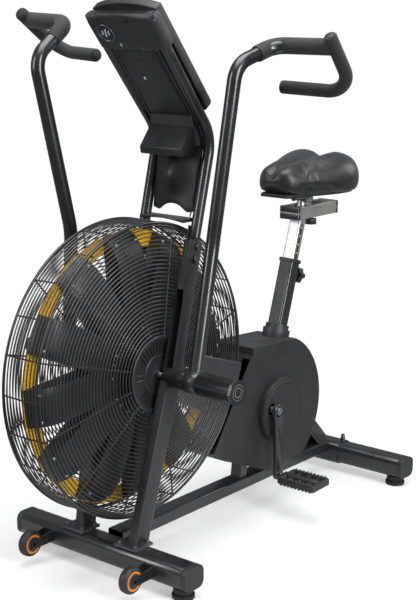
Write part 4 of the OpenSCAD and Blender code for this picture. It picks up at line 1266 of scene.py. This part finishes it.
def saddle_section(w, top, valley, low, inset):
    h = top - low
    half = [(0, top - valley), (0.10, top - valley * 0.9), (0.22, top - valley * 0.45), (0.40,
            top - valley * 0.04),
            (0.56, top), (0.72, top - 0.05 * h), (0.86, top - 0.16 * h), (0.96, top - 0.36 * h),
                    (1.0, top - 0.58 * h),
            (0.985, top - 0.80 * h), (0.93, low + 0.05 * h), (0.86, low), (0.74, low + 3), (0.4,
                    low + 5), (0, low + 6)]
    pts = [(x * w, z) for x, z in half] + [(-x * w, z) for x, z in half[1:-1][::-1]]
    cz = (top + low) / 2
    out = []
    for x, z in pts:
        out.append((x * (1 - inset / max(w, 12)), cz + (z - cz) * (1 - 2 * inset / max(h, 20))))
    return out


def saddle_mesh(name, inset):
    b = Build().use("saddle_vinyl")
    sections = []
    for y, w, top, valley, low in SADDLE:
        y2 = 680 + (y - 680) * (1 - inset / 145)
        sections.append([(x, y2, z) for x, z in saddle_section(w, top, valley, low, inset)])
    b.loft(sections)
    mesh = bpy.data.meshes.new(name)
    mesh.from_pydata([tuple(v) for v in b.verts], [], b.faces)
    mesh.materials.append(MATS["saddle_vinyl"])
    bm = bmesh.new()
    bm.from_mesh(mesh)
    bmesh.ops.recalc_face_normals(bm, faces=bm.faces)
    bm.to_mesh(mesh)
    bm.free()
    obj = bpy.data.objects.new(name, mesh)
    bpy.context.scene.collection.objects.link(obj)
    return obj


def bake(obj):
    """Replaces a mesh by what its modifiers make of it."""
    bpy.context.view_layer.update()
    graph = bpy.context.evaluated_depsgraph_get()
    mesh = bpy.data.meshes.new_from_object(obj.evaluated_get(graph))
    obj.modifiers.clear()
    old = obj.data
    obj.data = mesh
    bpy.data.meshes.remove(old)


def make_saddle():
    obj = saddle_mesh("saddle_cushion", 3.5)
    s = obj.modifiers.new("round", "SUBSURF")
    s.levels = 2
    s.render_levels = 2
    bake(obj)
    r = obj.modifiers.new("even", "REMESH")
    r.mode = "VOXEL"
    r.voxel_size = 0.005
    r.use_smooth_shade = True
    bake(obj)
    rest = [v.co.copy() for v in obj.data.vertices]
    c = obj.modifiers.new("cloth", "CLOTH")
    c.settings.quality = 6
    c.settings.mass = 0.3
    c.settings.tension_stiffness = 22
    c.settings.compression_stiffness = 22
    c.settings.shear_stiffness = 12
    c.settings.bending_stiffness = 1.5
    c.settings.use_pressure = True
    c.settings.uniform_pressure_force = 4
    c.settings.effector_weights.gravity = 0
    c.collision_settings.use_collision = False
    c.point_cache.frame_start = 1
    c.point_cache.frame_end = 20
    for f in range(1, 21):
        bpy.context.scene.frame_set(f)
    bake(obj)
    bpy.context.scene.frame_set(1)
    for v, old in zip(obj.data.vertices, rest):
        d = v.co - old
        if d.length > 0.006:
            v.co = old + d.normalized() * 0.006
    # Cushion stays inside its space; the pan below it is flat
    for v in obj.data.vertices:
        v.co.z = min(v.co.z, 0.9175)
        v.co.z = max(v.co.z, 0.8045)
    s = obj.modifiers.new("fine", "SUBSURF")
    s.levels = 1
    s.render_levels = 1
    bake(obj)
    obj.data.shade_smooth()
    obj.data.materials.clear()
    obj.data.materials.append(MATS["saddle_vinyl"])
    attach(obj, "saddle")
    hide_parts("saddle")
    # Moulded pan let into the cushion's underside
    b = Build().use("foot_rubber")
    pan = [(w * 0.74, y) for y, w, top, valley, low in SADDLE[2:-2]]
    pan += [(-x, y) for x, y in pan[::-1]]
    b.prism(pan, (0, 0, 804.4), (1, 0, 0), (0, 1, 0), 9, 1.0, 1.0)
    b.piece("saddle_pan", "saddle", "saddle_vinyl", sharp=40)
    # Clamp: cheeks, serrated washers and a cross bolt
    z = Build().use("zinc")
    for sx in (-1, 1):
        x0, x1 = (20.3, 24.3) if sx > 0 else (-24.3, -20.3)
        out = round_corners([(-13, -10), (13, -10), (16, 4), (30, 22), (-24, 22), (-16, 4)], [7,
                7, 3, 2, 2, 3], 4)
        z.prism(out, (x0, 678, 791), (0, 1, 0), (0, 0, 1), 4, 0.6, 0.6)
        z.lathe([(sx * 24.4, 0.1), (sx * 24.4, 12), (sx * 26.4, 12), (sx * 26.4, 0.1)], (0, 678,
                791), "X", 36)
        z.lathe([(sx * 26.4, 0.1), (sx * 26.4, 8.6), (sx * 32, 8.6), (sx * 33, 7.4), (sx * 33,
                0.1)], (0, 678, 791),
                "X", 6)
        z.block((min(sx * 16, sx * 30), 650, 808), (max(sx * 16, sx * 30), 716, 812.5), 1.0)
    for yy in (656, 700):
        for sx in (-1, 1):
            bolt(z, (sx * 24, yy + 3, 808), (0, 0, -1), 5.5, 4.0, False, "zinc")
    z.piece("saddle_clamp", "saddle", "zinc", sharp=34)


make_saddle()


# ---------------------------------------------------------------- seat rail caps, height scale and wheels
def rail_caps():
    """Two stacked moulded blocks at each end of the seat rail."""
    b = Build().use("knob_plastic")
    for y0, y1 in ((621.6, 632.5), (797.5, 808.4)):
        b.block((-30.5, y0, 738.6), (30.5, y1, 754.8), 1.8)
        b.block((-30.5, y0, 757.2), (30.5, y1, 773.4), 1.8)
        b.block((-29.4, y0 + 1.4, 753), (29.4, y1 - 1.4, 759), 0.4)
    b.piece("seat_rail_caps", "seat_post", "knob_plastic", sharp=40)


def height_scale():
    """A narrow scale down the post's left side, with a mark at each height hole."""
    b = Build().use("strip_black").at(shift(0, 569, 435) @ turn_x(-17.5))
    b.block((16.95, -5, 125), (17.14, 3, 302), 0.05)
    b.use("strip_yellow")
    for k in range(8):
        z = 132 + 23 * k
        b.block((17.0, -3.4, z - 2.2), (17.22, 1.4, z + 2.2), 0.05)
    b.piece("height_scale_strip", "seat_post", "post_alu", sharp=40)


def transport_wheel(side):
    word = "left" if side > 0 else "right"
    b = Build().use("wheel_plastic")
    tyre = [(-11.8, 8.2), (-11.8, 23.5), (-10.6, 27.6), (-7.4, 30.2), (-3, 30.9), (3, 30.9), (7.4,
            30.2),
            (10.6, 27.6), (11.8, 23.5), (11.8, 8.2)]
    at = (side * 160, -176, 49)
    b.lathe(tyre, at, "X", 72, closed=True)
    b.use("wheel_orange")
    for face in (-1, 1):
        b.lathe([(face * 11.2, 17.5), (face * 11.95, 17.8), (face * 11.95, 22.6), (face * 11.2,
                22.9)], at, "X", 72,
                closed=True)
    b.piece(f"{word}_wheel_tyre", f"{word}_wheel", "wheel_plastic", (f"{word}_wheel",), sharp=40)


def small_details():
    """Groove round each disc cover, painted as a near-black ring of shade, rings on the foot pegs' ends with their
    socket painted near-black as shade, and the panel between console and shield.
    """
    b = Build()
    for side in (-1, 1):
        # The groove is a thin ring painted near-black as shade.
        b.use("painted_shade_black")
        x = 85.08
        b.lathe([(side * (x - 0.4), 70.5), (side * x, 70.5), (side * x, 72.6), (side * (x - 0.4),
                72.6)], (0, 497, 262),
                "X", 96, closed=True)
    b.piece("disc_cover_groove_shade", "frame", "shroud_plastic", sharp=40)
    b = Build()
    for side in (-1, 1):
        b.use("badge_silver")
        for inner, outer in ((9.5, 11.5), (17, 18.2)):
            b.lathe([(side * 318.7, inner), (side * 319.3, inner), (side * 319.3, outer),
                    (side * 318.7, outer)],
                    (0, 0, FAN_Z), "X", 64, closed=True)
        # The socket in the peg's end is a disc painted near-black as shade.
        b.use("painted_shade_black")
        b.lathe([(side * 318.7, 0.1), (side * 319.15, 0.1), (side * 319.15, 6.5), (side * 318.7,
                6.5)], (0, 0, FAN_Z),
                "X", 48)
    b.piece("peg_end_rings", "frame", "frame_black", sharp=40)
    b = Build().use("shield_plastic")
    b.prism([(164, 972), (190, 972), (189, 1000), (168, 1040), (146, 1040)], (-65, 0, 0), (0, 1,
            0), (0, 0, 1), 130,
            1.5, 1.5)
    b.piece("console_throat", "frame", "shield_plastic", sharp=40)


small_details()
rail_caps()
height_scale()
transport_wheel(1)
transport_wheel(-1)


# ---------------------------------------------------------------- floor and light
def stage_floor():
    """A pale floor whose edge fades into the white behind it."""
    m = bpy.data.materials.new("floor")
    m.use_nodes = True
    t = m.node_tree
    for n in list(t.nodes):
        t.nodes.remove(n)
    out = t.nodes.new("ShaderNodeOutputMaterial")
    matt = t.nodes.new("ShaderNodeBsdfDiffuse")
    clear = t.nodes.new("ShaderNodeBsdfTransparent")
    mix = t.nodes.new("ShaderNodeMixShader")
    coord = t.nodes.new("ShaderNodeTexCoord")
    length = t.nodes.new("ShaderNodeVectorMath")
    length.operation = "LENGTH"
    t.links.new(coord.outputs["Object"], length.inputs[0])
    fade = t.nodes.new("ShaderNodeMapRange")
    fade.interpolation_type = "SMOOTHSTEP"
    fade.inputs["From Min"].default_value = 0.45
    fade.inputs["From Max"].default_value = 1.25
    fade.inputs["To Min"].default_value = 0.62
    fade.inputs["To Max"].default_value = 0.0
    t.links.new(length.outputs["Value"], fade.inputs["Value"])
    n = t.nodes.new("ShaderNodeTexNoise")
    n.inputs["Scale"].default_value = 2.5
    r = t.nodes.new("ShaderNodeValToRGB")
    r.color_ramp.elements[0].color = (0.93, 0.93, 0.935, 1)
    r.color_ramp.elements[1].color = (0.98, 0.98, 0.98, 1)
    t.links.new(n.outputs["Fac"], r.inputs[0])
    t.links.new(r.outputs[0], matt.inputs["Color"])
    t.links.new(fade.outputs[0], mix.inputs[0])
    t.links.new(clear.outputs[0], mix.inputs[1])
    t.links.new(matt.outputs[0], mix.inputs[2])
    t.links.new(mix.outputs[0], out.inputs[0])
    me = bpy.data.meshes.new("floor")
    me.from_pydata([(-6, -6, 0), (6, -6, 0), (6, 6, 0), (-6, 6, 0)], [], [(0, 1, 2, 3)])
    me.materials.append(m)
    o = bpy.data.objects.new("floor", me)
    bpy.context.scene.collection.objects.link(o)


stage_floor()


def lamp(name, at, aim, size, power, size_y=None):
    d = bpy.data.lights.new(name, "AREA")
    d.energy = power
    d.size = size
    if size_y:
        d.shape = "RECTANGLE"
        d.size_y = size_y
    o = bpy.data.objects.new(name, d)
    o.location = at
    o.rotation_euler = (Vector(aim) - Vector(at)).to_track_quat("-Z", "Y").to_euler()
    bpy.context.scene.collection.objects.link(o)
    return o


lamp("overhead", (0.2, -0.2, 3.6), (0, 0, 0.3), 2.6, 120)
lamp("key", (3.2, -0.6, 1.9), (0, 0, 0.6), 0.9, 95, 2.2)
lamp("front_left", (-1.6, -3.4, 2.2), (0, 0, 0.6), 0.8, 60, 2.0)
lamp("rear", (2.0, 3.0, 2.2), (0, 0.2, 0.6), 1.4, 40)


def make_world():
    w = bpy.data.worlds.new("studio")
    w.use_nodes = True
    t = w.node_tree
    for n in list(t.nodes):
        t.nodes.remove(n)
    out = t.nodes.new("ShaderNodeOutputWorld")
    seen = t.nodes.new("ShaderNodeBackground")
    seen.inputs["Color"].default_value = (1, 1, 1, 1)
    seen.inputs["Strength"].default_value = 1.0
    light = t.nodes.new("ShaderNodeBackground")
    light.inputs["Color"].default_value = (0.95, 0.975, 1.0, 1)
    light.inputs["Strength"].default_value = 0.22
    path = t.nodes.new("ShaderNodeLightPath")
    mix = t.nodes.new("ShaderNodeMixShader")
    t.links.new(path.outputs["Is Camera Ray"], mix.inputs[0])
    t.links.new(light.outputs[0], mix.inputs[1])
    t.links.new(seen.outputs[0], mix.inputs[2])
    t.links.new(mix.outputs[0], out.inputs[0])
    bpy.context.scene.world = w


make_world()
bpy.context.scene.view_settings.view_transform = "Standard"
